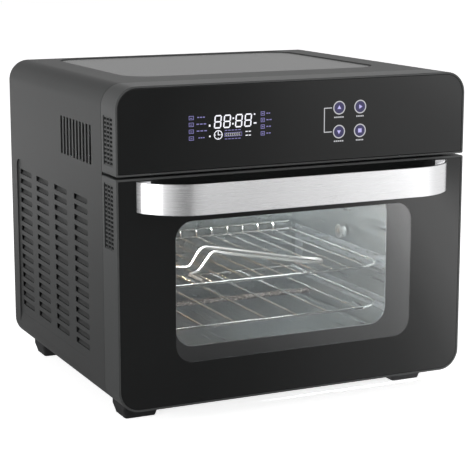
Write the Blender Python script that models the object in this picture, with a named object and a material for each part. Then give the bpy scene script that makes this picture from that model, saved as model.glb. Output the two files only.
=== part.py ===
"""A countertop air-fryer oven with a drop-down glass door.

Every piece is its own object. Lengths below are millimetres in the oven's own directions:
x runs across the oven, d is the depth behind the front plane, and h is the height above
the underside of the body. world() turns them into metres in the model's frame, whose
origin is the centre of the footprint, on the surface that the feet stand on.
"""
import math

import bmesh
import bpy
from mathutils import Vector
from mathutils.geometry import tessellate_polygon

MM = 0.001

# Driving dimensions
WIDTH = 380.0
DEPTH = 327.0
HEIGHT = 312.0
FOOT_HEIGHT = 19.0
HANDLE_REACH = 37.5
CORNER = 21.5
STRIP = 38.0
SHEET = 1.0
THIN_SHEET = 0.8
GAP = 0.3
HALF = WIDTH / 2
FRONT_OFFSET = -(DEPTH - HANDLE_REACH) / 2

# Front: the door below, the control panel above, and the gap between them
DOOR_TOP = 226.0
PANEL_BOTTOM = 228.2
LIP = 2.0
GLASS_FRONT = 0.5
GLASS_THICKNESS = 4.0
POCKET_DEPTH = GLASS_FRONT + GLASS_THICKNESS + GAP
DOOR_WALL = 10.0
STRIP_SLOT = (9.0, 32.0)
STRIP_SLOT_HEIGHT = 2.0
STRIP_SLOT_PITCH = 4.1
STRIP_SLOT_DEPTH = 3.0

# Door hinge
PIVOT_D = 26.0
PIVOT_H = 10.0
HINGE_X = 165.0
NOTCH_HALF = 9.5
PIN_RADIUS = 2.4
PIN_HOLE = 2.8

# Door window
PAN_FRONT = 29.8
PAN_REAR = 33.8
PAN_HALF = 150.0
PAN_LOW = 31.0
PAN_HIGH = 200.0
PAN_CORNER = 22.0
OPENING_HALF = 118.0
OPENING_LOW = 50.3
OPENING_HIGH = 186.0
OPENING_CORNER = 18.0
INNER_GLASS = 3.0

# Handle
HANDLE_LOW = 193.6
HANDLE_HIGH = 223.0
HANDLE_FLAT = 115.0
HANDLE_BEND = 59.0
HANDLE_SHEET = 2.0
HANDLE_TAB = 156.0
SCREW_X = 163.0
SCREW_H = (HANDLE_LOW + HANDLE_HIGH) / 2

# Cooking space
CAVITY_HALF = 150.0
CAVITY_LOW = 22.0
CAVITY_HIGH = 205.0
CAVITY_FRONT = 42.3
CAVITY_REAR = 302.0
FRAME_FRONT = 41.0
WALL = CAVITY_HALF - THIN_SHEET
FAN_D = 172.0
LOWER_LEVEL = 55.2
UPPER_LEVEL = 99.5
LEDGE_EDGE = 141.0
RACK_HALF = 145.0
RACK_FRONT = 68.0
RACK_CORNER = 36.0
RACK_BAR = 4.0
RACK_THICKNESS = 3.2
WIRE = 2.6
HEATER_H = 33.0
HEATER_DEPTHS = (78.0, 258.0)
HEATER_RADIUS = 3.2
LAMP = (100.0, 150.0)
SPIT = (172.0, 120.0)
PROBE = (110.0, 185.0)
SWITCH = (175.0, 198.0)
RING_RADIUS = 88.0
RING_H = 222.0
TAIL_X = 14.0

# Cabinet
REAR_PANEL = 320.0
LOUVRE_COLUMNS = (103.5, 164.5, 223.5, 280.0)
LOUVRE_ROWS = 15
LOUVRE_PITCH = 10.55
LOUVRE_TOP = 192.3
LOUVRE_SIZE = (40.0, 5.0)
VENT_COUNT = 10
VENT_FIRST = 69.0
VENT_PITCH = 9.33
VENT_SIZE = (5.3, 38.3)
VENT_H = 250.6
RECESS = (76.0, 32.0, 308.0, 205.7)
RECESS_DEPTH = 1.6
TOP_RECESS = (-142.0, 84.0, 142.0, 318.0)
TOP_RECESS_DEPTH = 1.4
TOP_RECESS_CORNER = 30.0
GLAND = (140.0, 45.0)
FOOT_X = 152.0
FOOT_DEPTHS = (55.0, 304.0)
TOUCH_KEYS = ((44.8, 281.8), (68.4, 281.8), (44.8, 258.1), (68.4, 258.1))


# ---------------------------------------------------------------- helpers

def world(x, d, h):
    return Vector((x * MM, (d + FRONT_OFFSET) * MM, (h + FOOT_HEIGHT) * MM))


def on_axis(axis, u, v, along):
    """The point at u, v in the plane across an axis, and at a place along that axis."""
    if axis == "x":
        return world(along, u, v)
    if axis == "d":
        return world(u, along, v)
    return world(u, v, along)


def rounded_rect(u0, v0, u1, v1, radii, steps=4):
    """Corners in the order lower left, lower right, upper right, upper left."""
    if not isinstance(radii, tuple):
        radii = (radii,) * 4
    inward = ((1, 1), (-1, 1), (-1, -1), (1, -1))
    corners = ((u0, v0), (u1, v0), (u1, v1), (u0, v1))
    points = []
    for index, (corner, side, radius) in enumerate(zip(corners, inward, radii)):
        if radius == 0:
            points.append(corner)
            continue
        centre = (corner[0] + side[0] * radius, corner[1] + side[1] * radius)
        first = math.pi * (1 + index / 2)
        points += arc(centre, radius, first, first + math.pi / 2, steps)
    return points


def arc(centre, radius, first, last, steps):
    angles = [first + (last - first) * i / steps for i in range(steps + 1)]
    return [(centre[0] + radius * math.cos(a), centre[1] + radius * math.sin(a)) for a in angles]


def circle(u, v, radius, sides=20):
    return arc((u, v), radius, 0, 2 * math.pi, sides)[:-1]


def rect(u0, v0, u1, v1):
    return [(u0, v0), (u1, v0), (u1, v1), (u0, v1)]


def add_prism(shape, axis, low, high, outline, holes=()):
    loops = [outline, *holes]
    flat = [point for loop in loops for point in loop]
    near = [shape.verts.new(on_axis(axis, u, v, low)) for u, v in flat]
    far = [shape.verts.new(on_axis(axis, u, v, high)) for u, v in flat]
    if holes:
        caps = tessellate_polygon([[Vector((u, v, 0)) for u, v in loop] for loop in loops])
    else:
        caps = [range(len(outline))]
    for cap in caps:
        shape.faces.new([near[i] for i in cap])
        shape.faces.new([far[i] for i in cap])
    start = 0
    for loop in loops:
        count = len(loop)
        for i in range(count):
            a = start + i
            b = start + (i + 1) % count
            shape.faces.new((near[a], near[b], far[b], far[a]))
        start += count


def add_box(shape, low, high):
    add_prism(shape, "d", low[1], high[1], rect(low[0], low[2], high[0], high[2]))


def add_turned(shape, axis, centre, profile, sides=20):
    """A closed profile of (radius, place along the axis) turned about the axis through centre."""
    rings = []
    for radius, along in profile:
        if radius == 0:
            rings.append([shape.verts.new(on_axis(axis, centre[0], centre[1], along))])
            continue
        points = circle(centre[0], centre[1], radius, sides)
        rings.append([shape.verts.new(on_axis(axis, u, v, along)) for u, v in points])
    for first, second in zip(rings, rings[1:] + rings[:1]):
        if len(first) == len(second) == 1:
            continue
        for i in range(sides):
            j = (i + 1) % sides
            corners = [first[i % len(first)], first[j % len(first)],
                       second[j % len(second)], second[i % len(second)]]
            shape.faces.new(list(dict.fromkeys(corners)))


def smooth_path(points, steps):
    """A curve through every point, with a few steps between each pair."""
    ends = [points[0], *points, points[-1]]
    path = []
    for a, b, c, e in zip(ends, ends[1:], ends[2:], ends[3:]):
        a, b, c, e = (Vector(point) for point in (a, b, c, e))
        for i in range(steps):
            t = i / steps
            path.append(0.5 * (2 * b + (c - a) * t + (2 * a - 5 * b + 4 * c - e) * t * t
                               + (3 * b - a - 3 * c + e) * t ** 3))
    return path + [Vector(points[-1])]


def look(name, colour, roughness, metallic=0.0, alpha=1.0):
    material = bpy.data.materials.new(name)
    material.use_nodes = True
    shader = material.node_tree.nodes["Principled BSDF"]
    shader.inputs["Base Color"].default_value = (*colour, 1.0)
    shader.inputs["Roughness"].default_value = roughness
    shader.inputs["Metallic"].default_value = metallic
    shader.inputs["Alpha"].default_value = alpha
    return material


def make(name, shape, finish):
    """A named object with its own material, from a closed shape."""
    bmesh.ops.recalc_face_normals(shape, faces=shape.faces)
    mesh = bpy.data.meshes.new(name)
    shape.to_mesh(mesh)
    shape.free()
    mesh.shade_smooth()
    mesh.set_sharp_from_angle(angle=math.radians(30))
    mesh.materials.append(look(name, *finish))
    body = bpy.data.objects.new(name, mesh)
    bpy.context.collection.objects.link(body)
    return body


def carve(body, shape, operation="DIFFERENCE"):
    """Cut a shape out of a body, or join it on."""
    bmesh.ops.recalc_face_normals(shape, faces=shape.faces)
    label = f"{body.name}_{operation.lower()}_{len(body.modifiers)}"
    mesh = bpy.data.meshes.new(label)
    shape.to_mesh(mesh)
    shape.free()
    guide = bpy.data.objects.new(label, mesh)
    guide.hide_render = True
    guide.display_type = "WIRE"
    bpy.context.collection.objects.link(guide)
    modifier = body.modifiers.new(label, "BOOLEAN")
    modifier.operation = operation
    modifier.object = guide


def join(body, shape):
    carve(body, shape, "UNION")


def make_wire(name, points, radius, finish, resolution=2):
    curve = bpy.data.curves.new(name, "CURVE")
    curve.dimensions = "3D"
    curve.bevel_depth = radius * MM
    curve.bevel_resolution = resolution
    curve.use_fill_caps = True
    spline = curve.splines.new("POLY")
    spline.points.add(len(points) - 1)
    for slot, point in zip(spline.points, points):
        slot.co = (*world(*point), 1.0)
    curve.materials.append(look(name, *finish))
    wire = bpy.data.objects.new(name, curve)
    bpy.context.collection.objects.link(wire)
    return wire


def axis_empty(name, place, pieces):
    """An empty on a joint's axis that carries the pieces of one moving body."""
    empty = bpy.data.objects.new(name, None)
    empty.location = world(*place)
    empty.empty_display_size = 0.02
    bpy.context.collection.objects.link(empty)
    for piece in pieces:
        piece.parent = empty
        piece.location = -empty.location
    return empty


# Finishes: colour, roughness, metallic, alpha
COATED = ((0.085, 0.087, 0.086), 0.5, 0.4)
BLACK_PLASTIC = ((0.03, 0.031, 0.032), 0.45)
BLACK_GLASS = ((0.012, 0.013, 0.013), 0.08)
CLEAR_GLASS = ((0.35, 0.4, 0.42), 0.03, 0.0, 0.35)
STEEL = ((0.55, 0.57, 0.58), 0.3, 1.0)
BRUSHED = ((0.72, 0.72, 0.73), 0.28, 1.0)
CHROME = ((0.75, 0.75, 0.74), 0.15, 1.0)
HEATER = ((0.42, 0.39, 0.36), 0.3, 1.0)
RUBBER = ((0.02, 0.02, 0.02), 0.75)
SILICONE = ((0.09, 0.09, 0.095), 0.6)
BOARD = ((0.03, 0.16, 0.07), 0.5)
DARK_STEEL = ((0.16, 0.17, 0.18), 0.4, 1.0)
ALUMINIUM = ((0.7, 0.7, 0.7), 0.35, 1.0)
LAMP_GLASS = ((0.95, 0.85, 0.65), 0.1, 0.0, 0.5)


# ---------------------------------------------------------------- cabinet

def cabinet_shell():
    """The sheet wrap: sides, top and rounded bottom edges, open along the underside."""
    steps = 5
    outer = rounded_rect(-HALF, 0, HALF, HEIGHT, CORNER, steps)
    inner = rounded_rect(-HALF + SHEET, SHEET, HALF - SHEET, HEIGHT - SHEET, CORNER - SHEET, steps)
    edge = HALF - CORNER - 3.5
    outer = [(edge, 0), *outer[steps + 1:], *outer[:steps + 1], (-edge, 0)]
    inner = [(edge, SHEET), *inner[steps + 1:], *inner[:steps + 1], (-edge, SHEET)]
    shape = bmesh.new()
    add_prism(shape, "d", STRIP + 0.4, DEPTH, outer + inner[::-1])
    body = make("cabinet_shell", shape, COATED)
    pads = bmesh.new()
    pockets = bmesh.new()
    slots = bmesh.new()
    for side in (-1, 1):
        add_side_recess(pads, pockets, slots, side)
        add_side_vent(slots, side)
    add_top_recess(pads, pockets)
    join(body, pads)
    carve(body, pockets)
    carve(body, slots)
    return body


def add_side_recess(pads, pockets, slots, side):
    """A pressed panel, sunk into the side, with rows of louvres through it."""
    d0, h0, d1, h1 = RECESS
    backing = rounded_rect(d0 - 1, h0 - 1, d1 + 1, h1 + 1, 9.0)
    add_prism(pads, "x", side * (HALF - 0.5), side * (HALF - RECESS_DEPTH - SHEET), backing)
    add_prism(pockets, "x", side * (HALF + 1), side * (HALF - RECESS_DEPTH),
              rounded_rect(d0, h0, d1, h1, 8.0))
    length, height = LOUVRE_SIZE
    for column in LOUVRE_COLUMNS:
        for row in range(LOUVRE_ROWS):
            middle = LOUVRE_TOP - row * LOUVRE_PITCH
            opening = rect(column - length / 2, middle - height / 2,
                           column + length / 2, middle + height / 2)
            add_prism(slots, "x", side * (HALF - 1), side * (HALF - RECESS_DEPTH - 2), opening)


def add_top_recess(pads, pockets):
    """A shallow round-cornered field pressed into the top."""
    x0, d0, x1, d1 = TOP_RECESS
    backing = rounded_rect(x0 - 1, d0 - 1, x1 + 1, d1 + 1, TOP_RECESS_CORNER + 1)
    add_prism(pads, "h", HEIGHT - 0.5, HEIGHT - TOP_RECESS_DEPTH - SHEET, backing)
    add_prism(pockets, "h", HEIGHT + 1, HEIGHT - TOP_RECESS_DEPTH,
              rounded_rect(x0, d0, x1, d1, TOP_RECESS_CORNER))


def add_side_vent(slots, side):
    width, height = VENT_SIZE
    for i in range(VENT_COUNT):
        middle = VENT_FIRST + i * VENT_PITCH
        opening = rect(middle - width / 2, VENT_H - height / 2,
                       middle + width / 2, VENT_H + height / 2)
        add_prism(slots, "x", side * (HALF + 1), side * (HALF - 2), opening)


def base_pan():
    half = HALF - CORNER - 3.5 - GAP
    slots = [rounded_rect(x - 30, d - 3, x + 30, d + 3, 3.0, 2)
             for x in (-75.0, 0.0, 75.0) for d in (120.0, 180.0, 240.0)]
    shape = bmesh.new()
    add_prism(shape, "h", 0, SHEET, rect(-half, STRIP + 0.6, half, REAR_PANEL - GAP), slots)
    return make("base_pan", shape, COATED)


def rear_panel():
    inset = SHEET + GAP
    outline = rounded_rect(-HALF + inset, inset, HALF - inset, HEIGHT - inset, CORNER - inset)
    holes = [circle(x, h, 2.2, 10) for x, h in rear_screw_places()]
    holes.append(circle(*GLAND, 9.5, 20))
    for i in range(12):
        x = -66 + i * 12.0
        holes.append(rect(x - 2.5, 235, x + 2.5, 285))
        holes.append(rect(x - 2.5, 90, x + 2.5, 140))
    shape = bmesh.new()
    add_prism(shape, "d", REAR_PANEL, REAR_PANEL + SHEET, outline, holes)
    return make("rear_panel", shape, COATED)


def rear_screw_places():
    return [(side * 170.0, h) for side in (-1, 1) for h in (22.0, 290.0)]


def rear_screws():
    for number, place in enumerate(rear_screw_places(), 1):
        face = REAR_PANEL + SHEET + GAP
        shape = bmesh.new()
        profile = [(0, face + 2.2), (2.4, face + 1.9), (3.8, face), (1.8, face),
                   (1.8, REAR_PANEL - 8), (0, REAR_PANEL - 9)]
        add_turned(shape, "d", place, profile, 12)
        make(f"rear_screw_{number}", shape, DARK_STEEL)


def cord_gland():
    """The bushing that a mains lead leaves through, open all the way."""
    face = REAR_PANEL + SHEET + GAP
    profile = [(4, face + 3), (10.5, face + 3), (12, face + 1.5), (12, face), (9, face),
               (9, REAR_PANEL - 10), (4, REAR_PANEL - 10)]
    shape = bmesh.new()
    add_turned(shape, "d", GLAND, profile, 20)
    return make("cord_gland", shape, RUBBER)


def feet():
    for side, end in ((-1, "left"), (1, "right")):
        for d, place in zip(FOOT_DEPTHS, ("front", "rear")):
            shape = bmesh.new()
            levels = ((-GAP, 19.0, 16.5), (-9.0, 19.0, 16.5), (-FOOT_HEIGHT, 16.0, 14.0))
            rings = []
            for h, half_x, half_d in levels:
                outline = rounded_rect(side * FOOT_X - half_x, d - half_d,
                                       side * FOOT_X + half_x, d + half_d, 2.5, 2)
                rings.append([shape.verts.new(world(u, v, h)) for u, v in outline])
            shape.faces.new(rings[0])
            shape.faces.new(rings[-1])
            for upper, lower in zip(rings, rings[1:]):
                for i in range(len(upper)):
                    j = (i + 1) % len(upper)
                    shape.faces.new((upper[i], upper[j], lower[j], lower[i]))
            make(f"foot_{place}_{end}", shape, RUBBER)


def front_frame():
    inset = SHEET + 0.4
    outline = rounded_rect(-HALF + inset, inset, HALF - inset, HEIGHT - inset, CORNER - inset)
    opening = rounded_rect(-WALL, CAVITY_LOW + THIN_SHEET, WALL, CAVITY_HIGH - THIN_SHEET,
                           (2.0, 2.0, 9.0, 9.0))
    wiring = rounded_rect(-130, 240, 130, 296, 6.0)
    shape = bmesh.new()
    add_prism(shape, "d", FRAME_FRONT, FRAME_FRONT + SHEET, outline,
              [opening, wiring, circle(*SWITCH, 2.4, 12)])
    return make("front_frame", shape, STEEL)


# ---------------------------------------------------------------- control panel

def add_strip_slots(slots, side, first, rows):
    for row in range(rows):
        low = first + row * STRIP_SLOT_PITCH
        opening = rect(STRIP_SLOT[0], low, STRIP_SLOT[1], low + STRIP_SLOT_HEIGHT)
        add_prism(slots, "x", side * (HALF + 1), side * (HALF - STRIP_SLOT_DEPTH - 0.5), opening)


def control_housing():
    wall = 3.0
    outer = rounded_rect(-HALF, PANEL_BOTTOM, HALF, HEIGHT, (1.5, 1.5, CORNER, CORNER), 5)
    shape = bmesh.new()
    add_prism(shape, "d", 0, STRIP, outer)
    body = make("control_housing", shape, BLACK_PLASTIC)
    rear = bmesh.new()
    add_prism(rear, "d", POCKET_DEPTH + LIP, STRIP + 1,
              rounded_rect(-HALF + wall, PANEL_BOTTOM + wall, HALF - wall, HEIGHT - wall,
                           (1.0, 1.0, CORNER - wall, CORNER - wall), 5))
    add_prism(rear, "d", -1, POCKET_DEPTH,
              rounded_rect(-HALF + LIP, PANEL_BOTTOM + LIP, HALF - LIP, HEIGHT - LIP,
                           (1.0, 1.0, CORNER - LIP, CORNER - LIP), 5))
    carve(body, rear)
    openings = bmesh.new()
    add_prism(openings, "d", POCKET_DEPTH - 1, POCKET_DEPTH + 4, rect(-121, 253, -23, 288))
    add_prism(openings, "d", POCKET_DEPTH - 1, POCKET_DEPTH + 4, rect(20, 246, 92, 294))
    for side in (-1, 1):
        add_strip_slots(openings, side, 238.5, 11)
    carve(body, openings)
    return body


def control_glass():
    edge = LIP + GAP
    radii = (1.0, 1.0, CORNER - edge, CORNER - edge)
    outline = rounded_rect(-HALF + edge, PANEL_BOTTOM + edge, HALF - edge, HEIGHT - edge, radii, 5)
    shape = bmesh.new()
    add_prism(shape, "d", GLASS_FRONT, GLASS_FRONT + GLASS_THICKNESS, outline)
    return make("control_glass", shape, BLACK_GLASS)


def display_module():
    face = POCKET_DEPTH + 0.1
    shape = bmesh.new()
    add_box(shape, (-118, face, 255), (-26, face + 7, 286))
    body = make("display_module", shape, BLACK_PLASTIC)
    board = bmesh.new()
    add_box(board, (-124, face + 6.8, 250), (-20, face + 8.4, 291))
    join(body, board)
    return body


def touch_board():
    face = POCKET_DEPTH + 0.1
    shape = bmesh.new()
    add_box(shape, (22, face + 6.8, 248), (90, face + 8.4, 292))
    body = make("touch_board", shape, BOARD)
    pads = bmesh.new()
    for place in TOUCH_KEYS:
        add_prism(pads, "d", face, face + 7, circle(*place, 6.0, 16))
    join(body, pads)
    return body


def power_board():
    shape = bmesh.new()
    add_box(shape, (160, 205, 60), (161.6, 300, 180))
    body = make("power_board", shape, BOARD)
    parts = bmesh.new()
    add_box(parts, (161.2, 212, 150), (177, 232, 172))
    add_box(parts, (161.2, 240, 150), (177, 260, 172))
    add_box(parts, (161.2, 215, 100), (181, 250, 135))
    add_prism(parts, "x", 161.2, 178, circle(275, 120, 10, 14))
    add_box(parts, (161.2, 212, 70), (172, 290, 84))
    join(body, parts)
    return body


def door_switch():
    shape = bmesh.new()
    add_box(shape, (SWITCH[0] - 9, CAVITY_FRONT, SWITCH[1] - 9), (SWITCH[0] + 9, 56, SWITCH[1] + 9))
    body = make("door_switch", shape, BLACK_PLASTIC)
    bore = bmesh.new()
    add_prism(bore, "d", CAVITY_FRONT - 1, 51.5, circle(*SWITCH, 2.3, 12))
    carve(body, bore)
    return body


def switch_plunger():
    tip = PAN_REAR + SHEET + GAP
    shape = bmesh.new()
    profile = [(0, tip), (1.2, tip + 0.3), (1.8, tip + 1), (1.8, 49.5), (0, 49.5)]
    add_turned(shape, "d", SWITCH, profile, 12)
    return make("switch_plunger", shape, BLACK_PLASTIC)


# ---------------------------------------------------------------- cooking space

def cavity_liner():
    shape = bmesh.new()
    add_prism(shape, "d", CAVITY_FRONT, CAVITY_REAR,
              rounded_rect(-CAVITY_HALF, CAVITY_LOW, CAVITY_HALF, CAVITY_HIGH, (2.8, 2.8, 9.8, 9.8)))
    body = make("cavity_liner", shape, STEEL)
    space = bmesh.new()
    add_prism(space, "d", CAVITY_FRONT - 1, CAVITY_REAR - THIN_SHEET,
              rounded_rect(-WALL, CAVITY_LOW + THIN_SHEET, WALL, CAVITY_HIGH - THIN_SHEET,
                           (2.0, 2.0, 9.0, 9.0)))
    carve(body, space)
    holes = bmesh.new()
    add_prism(holes, "h", CAVITY_HIGH - 2, CAVITY_HIGH + 1, circle(0, FAN_D, 98, 48))
    add_prism(holes, "x", -WALL + 1, -CAVITY_HALF - 1, circle(*LAMP, 21, 24))
    add_prism(holes, "x", WALL - 1, CAVITY_HALF + 1, circle(*SPIT, 5, 12))
    add_prism(holes, "d", CAVITY_REAR - 2, CAVITY_REAR + 1, circle(*PROBE, 3, 10))
    for side in (-1, 1):
        for d in HEATER_DEPTHS:
            add_prism(holes, "x", side * (WALL - 1), side * (CAVITY_HALF + 1), circle(d, HEATER_H, 4.2, 10))
    carve(body, holes)
    return body


def rack_guide(name, side):
    """Two ledges, one for each rack, on a thin plate against the wall."""
    plate = WALL - GAP
    face = plate - SHEET
    outline = [(plate, 48), (face, 48)]
    for level in (LOWER_LEVEL, UPPER_LEVEL):
        outline += [(face, level - SHEET), (LEDGE_EDGE, level - SHEET), (LEDGE_EDGE, level), (face, level)]
    outline += [(face, 108), (plate, 108)]
    shape = bmesh.new()
    add_prism(shape, "d", 58, 290, [(side * x, h) for x, h in outline])
    body = make(name, shape, STEEL)
    window = bmesh.new()
    add_prism(window, "x", side * (plate + 1), side * (face - 1), rounded_rect(75, 62, 273, 92, 6.0))
    carve(body, window)
    return body


def rack_edge(x, inset):
    """How far back the rack's front edge lies at x: straight, then round the corner."""
    radius = RACK_CORNER - inset
    beyond = max(0.0, abs(x) - (RACK_HALF - RACK_CORNER))
    return RACK_FRONT + RACK_CORNER - math.sqrt(max(0.0, radius ** 2 - beyond ** 2))


def rack_grid(name, level, rear, wire_places, stop_height=0.0):
    """A round-cornered border with straight wires, and for a tall rack a raised bar behind."""
    base = level + GAP
    outline = rounded_rect(-RACK_HALF, RACK_FRONT, RACK_HALF, rear, (RACK_CORNER, RACK_CORNER, 2.0, 2.0))
    shape = bmesh.new()
    add_prism(shape, "h", base, base + RACK_THICKNESS, outline)
    body = make(name, shape, CHROME)
    if stop_height:
        stop = bmesh.new()
        add_box(stop, (-RACK_HALF + 3, rear - 3.4, base + 0.5),
                (RACK_HALF - 3, rear - 0.4, base + stop_height))
        join(body, stop)
    inner = RACK_HALF - RACK_BAR
    edges = [-inner, *[x + side * WIRE / 2 for x in wire_places for side in (-1, 1)], inner]
    gaps = bmesh.new()
    for left, right in zip(edges[::2], edges[1::2]):
        steps = 3 if max(-left, right) > RACK_HALF - RACK_CORNER else 1
        front = [left + (right - left) * i / steps for i in range(steps + 1)]
        hole = [(x, rack_edge(x, RACK_BAR)) for x in front]
        hole += [(right, rear - RACK_BAR), (left, rear - RACK_BAR)]
        add_prism(gaps, "h", base - 1, base + RACK_THICKNESS + 1, hole)
        if stop_height:
            add_box(gaps, (left, rear - 5, base + RACK_THICKNESS + 1.2),
                    (right, rear + 1, base + stop_height - 3))
    carve(body, gaps)
    return body


def upper_rack():
    return rack_grid("upper_rack", UPPER_LEVEL, 297.0, [20.0 * i for i in range(-6, 7)], 12.0)


def lower_rack():
    return rack_grid("lower_rack", LOWER_LEVEL, 290.0, [36.0 * i for i in range(-3, 4)])


def fetch_tool():
    """A bent wire for lifting a hot rack, lying on the upper rack on its feet."""
    route = [(-73, 67, 105.2), (-73, 92, 105.2), (-71, 102, 105.2), (-60, 106, 107), (-50, 107, 118),
             (-42, 107, 125), (-26, 105, 122), (30, 102, 112), (62, 97, 106.5), (78, 97, 105.2),
             (83, 107, 105.2), (76, 118, 105.2), (60, 124, 106.5), (8, 130, 116), (-30, 131, 123.5),
             (-44, 131, 125), (-51, 132, 118), (-58, 133, 107), (-66, 134, 105.2), (-72, 140, 105.2)]
    return make_wire("fetch_tool", smooth_path(route, 3), 1.6, CHROME)


def crumb_tray():
    low = CAVITY_LOW + THIN_SHEET + GAP
    shape = bmesh.new()
    add_box(shape, (-146, 44, low), (146, 296, low + 4.4))
    body = make("crumb_tray", shape, STEEL)
    hollow = bmesh.new()
    add_box(hollow, (-145.2, 44.8, low + THIN_SHEET), (145.2, 295.2, low + 6))
    carve(body, hollow)
    pull = bmesh.new()
    add_box(pull, (-60, 43.4, low + 1), (60, 44.4, low + 9))
    join(body, pull)
    return body


def lower_heater(name, d):
    end = CAVITY_HALF + 6
    profile = [(0, -end - 12), (2, -end - 12), (2, -end), (HEATER_RADIUS, -end), (HEATER_RADIUS, end),
               (2, end), (2, end + 12), (0, end + 12)]
    shape = bmesh.new()
    add_turned(shape, "x", (d, HEATER_H), profile, 12)
    return make(name, shape, HEATER)


def upper_heater():
    """A ring about the fan with both ends turned up through the chamber's roof."""
    reach = math.sqrt(RING_RADIUS ** 2 - TAIL_X ** 2)
    half_gap = math.asin(TAIL_X / RING_RADIUS)
    steps = 30
    ring = arc((0, FAN_D), RING_RADIUS, math.pi / 2 + half_gap, 5 * math.pi / 2 - half_gap, steps)
    tail = [(-TAIL_X, FAN_D + reach, h) for h in (262, 234, 228)]
    points = tail + [(x, d, RING_H) for x, d in ring[1:-1]]
    points += [(-x, d, h) for x, d, h in tail[::-1]]
    return make_wire("upper_heater", points, HEATER_RADIUS, HEATER)


def heater_guard():
    slots = []
    count = 24
    for i in range(count):
        middle = 2 * math.pi * i / count
        corners = ((30, -0.06), (92, -0.09), (92, 0.09), (30, 0.06))
        slots.append([(r * math.cos(middle + a), FAN_D + r * math.sin(middle + a)) for r, a in corners])
    top = CAVITY_HIGH - THIN_SHEET - GAP
    shape = bmesh.new()
    add_prism(shape, "h", top - THIN_SHEET, top, circle(0, FAN_D, 108, 48), slots)
    return make("heater_guard", shape, STEEL)


def convection_chamber():
    low = CAVITY_HIGH + GAP
    top = 245.0
    profile = [(124, low), (124, low + THIN_SHEET), (118.8, low + THIN_SHEET), (118.8, top), (5.5, top),
               (5.5, top - THIN_SHEET), (118, top - THIN_SHEET), (118, low)]
    shape = bmesh.new()
    add_turned(shape, "h", (0, FAN_D), profile, 36)
    body = make("convection_chamber", shape, STEEL)
    reach = math.sqrt(RING_RADIUS ** 2 - TAIL_X ** 2)
    holes = bmesh.new()
    for side in (-1, 1):
        add_prism(holes, "h", top - 3, top + 1, circle(side * TAIL_X, FAN_D + reach, 4.4, 12))
    carve(body, holes)
    return body


def star(blades, tip, valley, thickness):
    points = []
    for i in range(blades):
        angle = 2 * math.pi * i / blades
        along = (math.cos(angle), math.sin(angle))
        for side in (-1, 1):
            points.append((tip * along[0] - side * thickness / 2 * along[1],
                           FAN_D + tip * along[1] + side * thickness / 2 * along[0]))
        middle = angle + math.pi / blades
        points.append((valley * math.cos(middle), FAN_D + valley * math.sin(middle)))
    return points


def bladed_wheel(name, blades, radius, low, high, disc_high, finish):
    shape = bmesh.new()
    add_prism(shape, "h", low, high, star(blades, radius - 2, 11.0, 1.6))
    body = make(name, shape, finish)
    disc = bmesh.new()
    add_prism(disc, "h", high - 1.0, disc_high, circle(0, FAN_D, radius, 32))
    join(body, disc)
    bore = bmesh.new()
    add_prism(bore, "h", low - 1, disc_high + 1, circle(0, FAN_D, 4.5, 14))
    carve(body, bore)
    return body


def fan_shaft():
    profile = [(0, 212), (6, 212), (7, 213), (7, 218.7), (4, 218.7), (4, 282), (0, 282)]
    shape = bmesh.new()
    add_turned(shape, "h", (0, FAN_D), profile, 14)
    return make("fan_shaft", shape, STEEL)


def fan_motor():
    shape = bmesh.new()
    add_prism(shape, "h", 266, 289, rounded_rect(-34, FAN_D - 30, 34, FAN_D + 30, 5.0, 2))
    body = make("fan_motor", shape, DARK_STEEL)
    cap = bmesh.new()
    add_prism(cap, "h", 288, 299, circle(0, FAN_D, 20, 24))
    join(body, cap)
    bore = bmesh.new()
    add_prism(bore, "h", 265, 284, circle(0, FAN_D, 4.6, 14))
    carve(body, bore)
    return body


def motor_bracket():
    half = [(74, 245.3), (61, 245.3), (61, 264.7)]
    upper = [(62, 265.7), (62, 246.3), (74, 246.3)]
    outline = [(-x, h) for x, h in half] + half[::-1] + upper[::-1] + [(-x, h) for x, h in upper]
    shape = bmesh.new()
    add_prism(shape, "d", FAN_D - 15, FAN_D + 15, outline)
    body = make("motor_bracket", shape, STEEL)
    hole = bmesh.new()
    add_prism(hole, "h", 264, 267, circle(0, FAN_D, 9, 16))
    carve(body, hole)
    return body


def thermal_cutout():
    shape = bmesh.new()
    add_turned(shape, "h", (-78, 120), [(0, 245.3), (9, 245.3), (9, 250), (6, 250), (6, 255), (0, 255)], 16)
    return make("thermal_cutout", shape, BLACK_PLASTIC)


def temperature_probe():
    profile = [(0, 262), (1.6, 262.6), (2.2, 264), (2.2, 302.3), (5, 302.3), (5, 306), (0, 306)]
    shape = bmesh.new()
    add_turned(shape, "d", PROBE, profile, 12)
    return make("temperature_probe", shape, CHROME)


def lamp():
    """A capsule bulb in a cup behind the left wall, with a clear cover inside the oven."""
    outside = CAVITY_HALF + GAP
    cup = [(24, outside), (24, 182), (0, 182), (0, 180.5), (22.5, 180.5), (22.5, outside)]
    bulb = [(0, 156), (4.5, 157.5), (6.5, 161), (6.5, 172), (4, 176), (4, 180), (0, 180)]
    cover = [(0, 144.2), (14, 144.8), (21, 146.4), (24.5, 148.9), (21, 148.9), (13, 146.8), (0, 146.2)]
    add_lamp_piece("lamp_holder", cup, 20, ALUMINIUM)
    add_lamp_piece("lamp_bulb", bulb, 14, LAMP_GLASS)
    add_lamp_piece("lamp_cover", cover, 20, CLEAR_GLASS)


def add_lamp_piece(name, profile, sides, finish):
    shape = bmesh.new()
    add_turned(shape, "x", LAMP, [(radius, -along) for radius, along in profile], sides)
    make(name, shape, finish)


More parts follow.
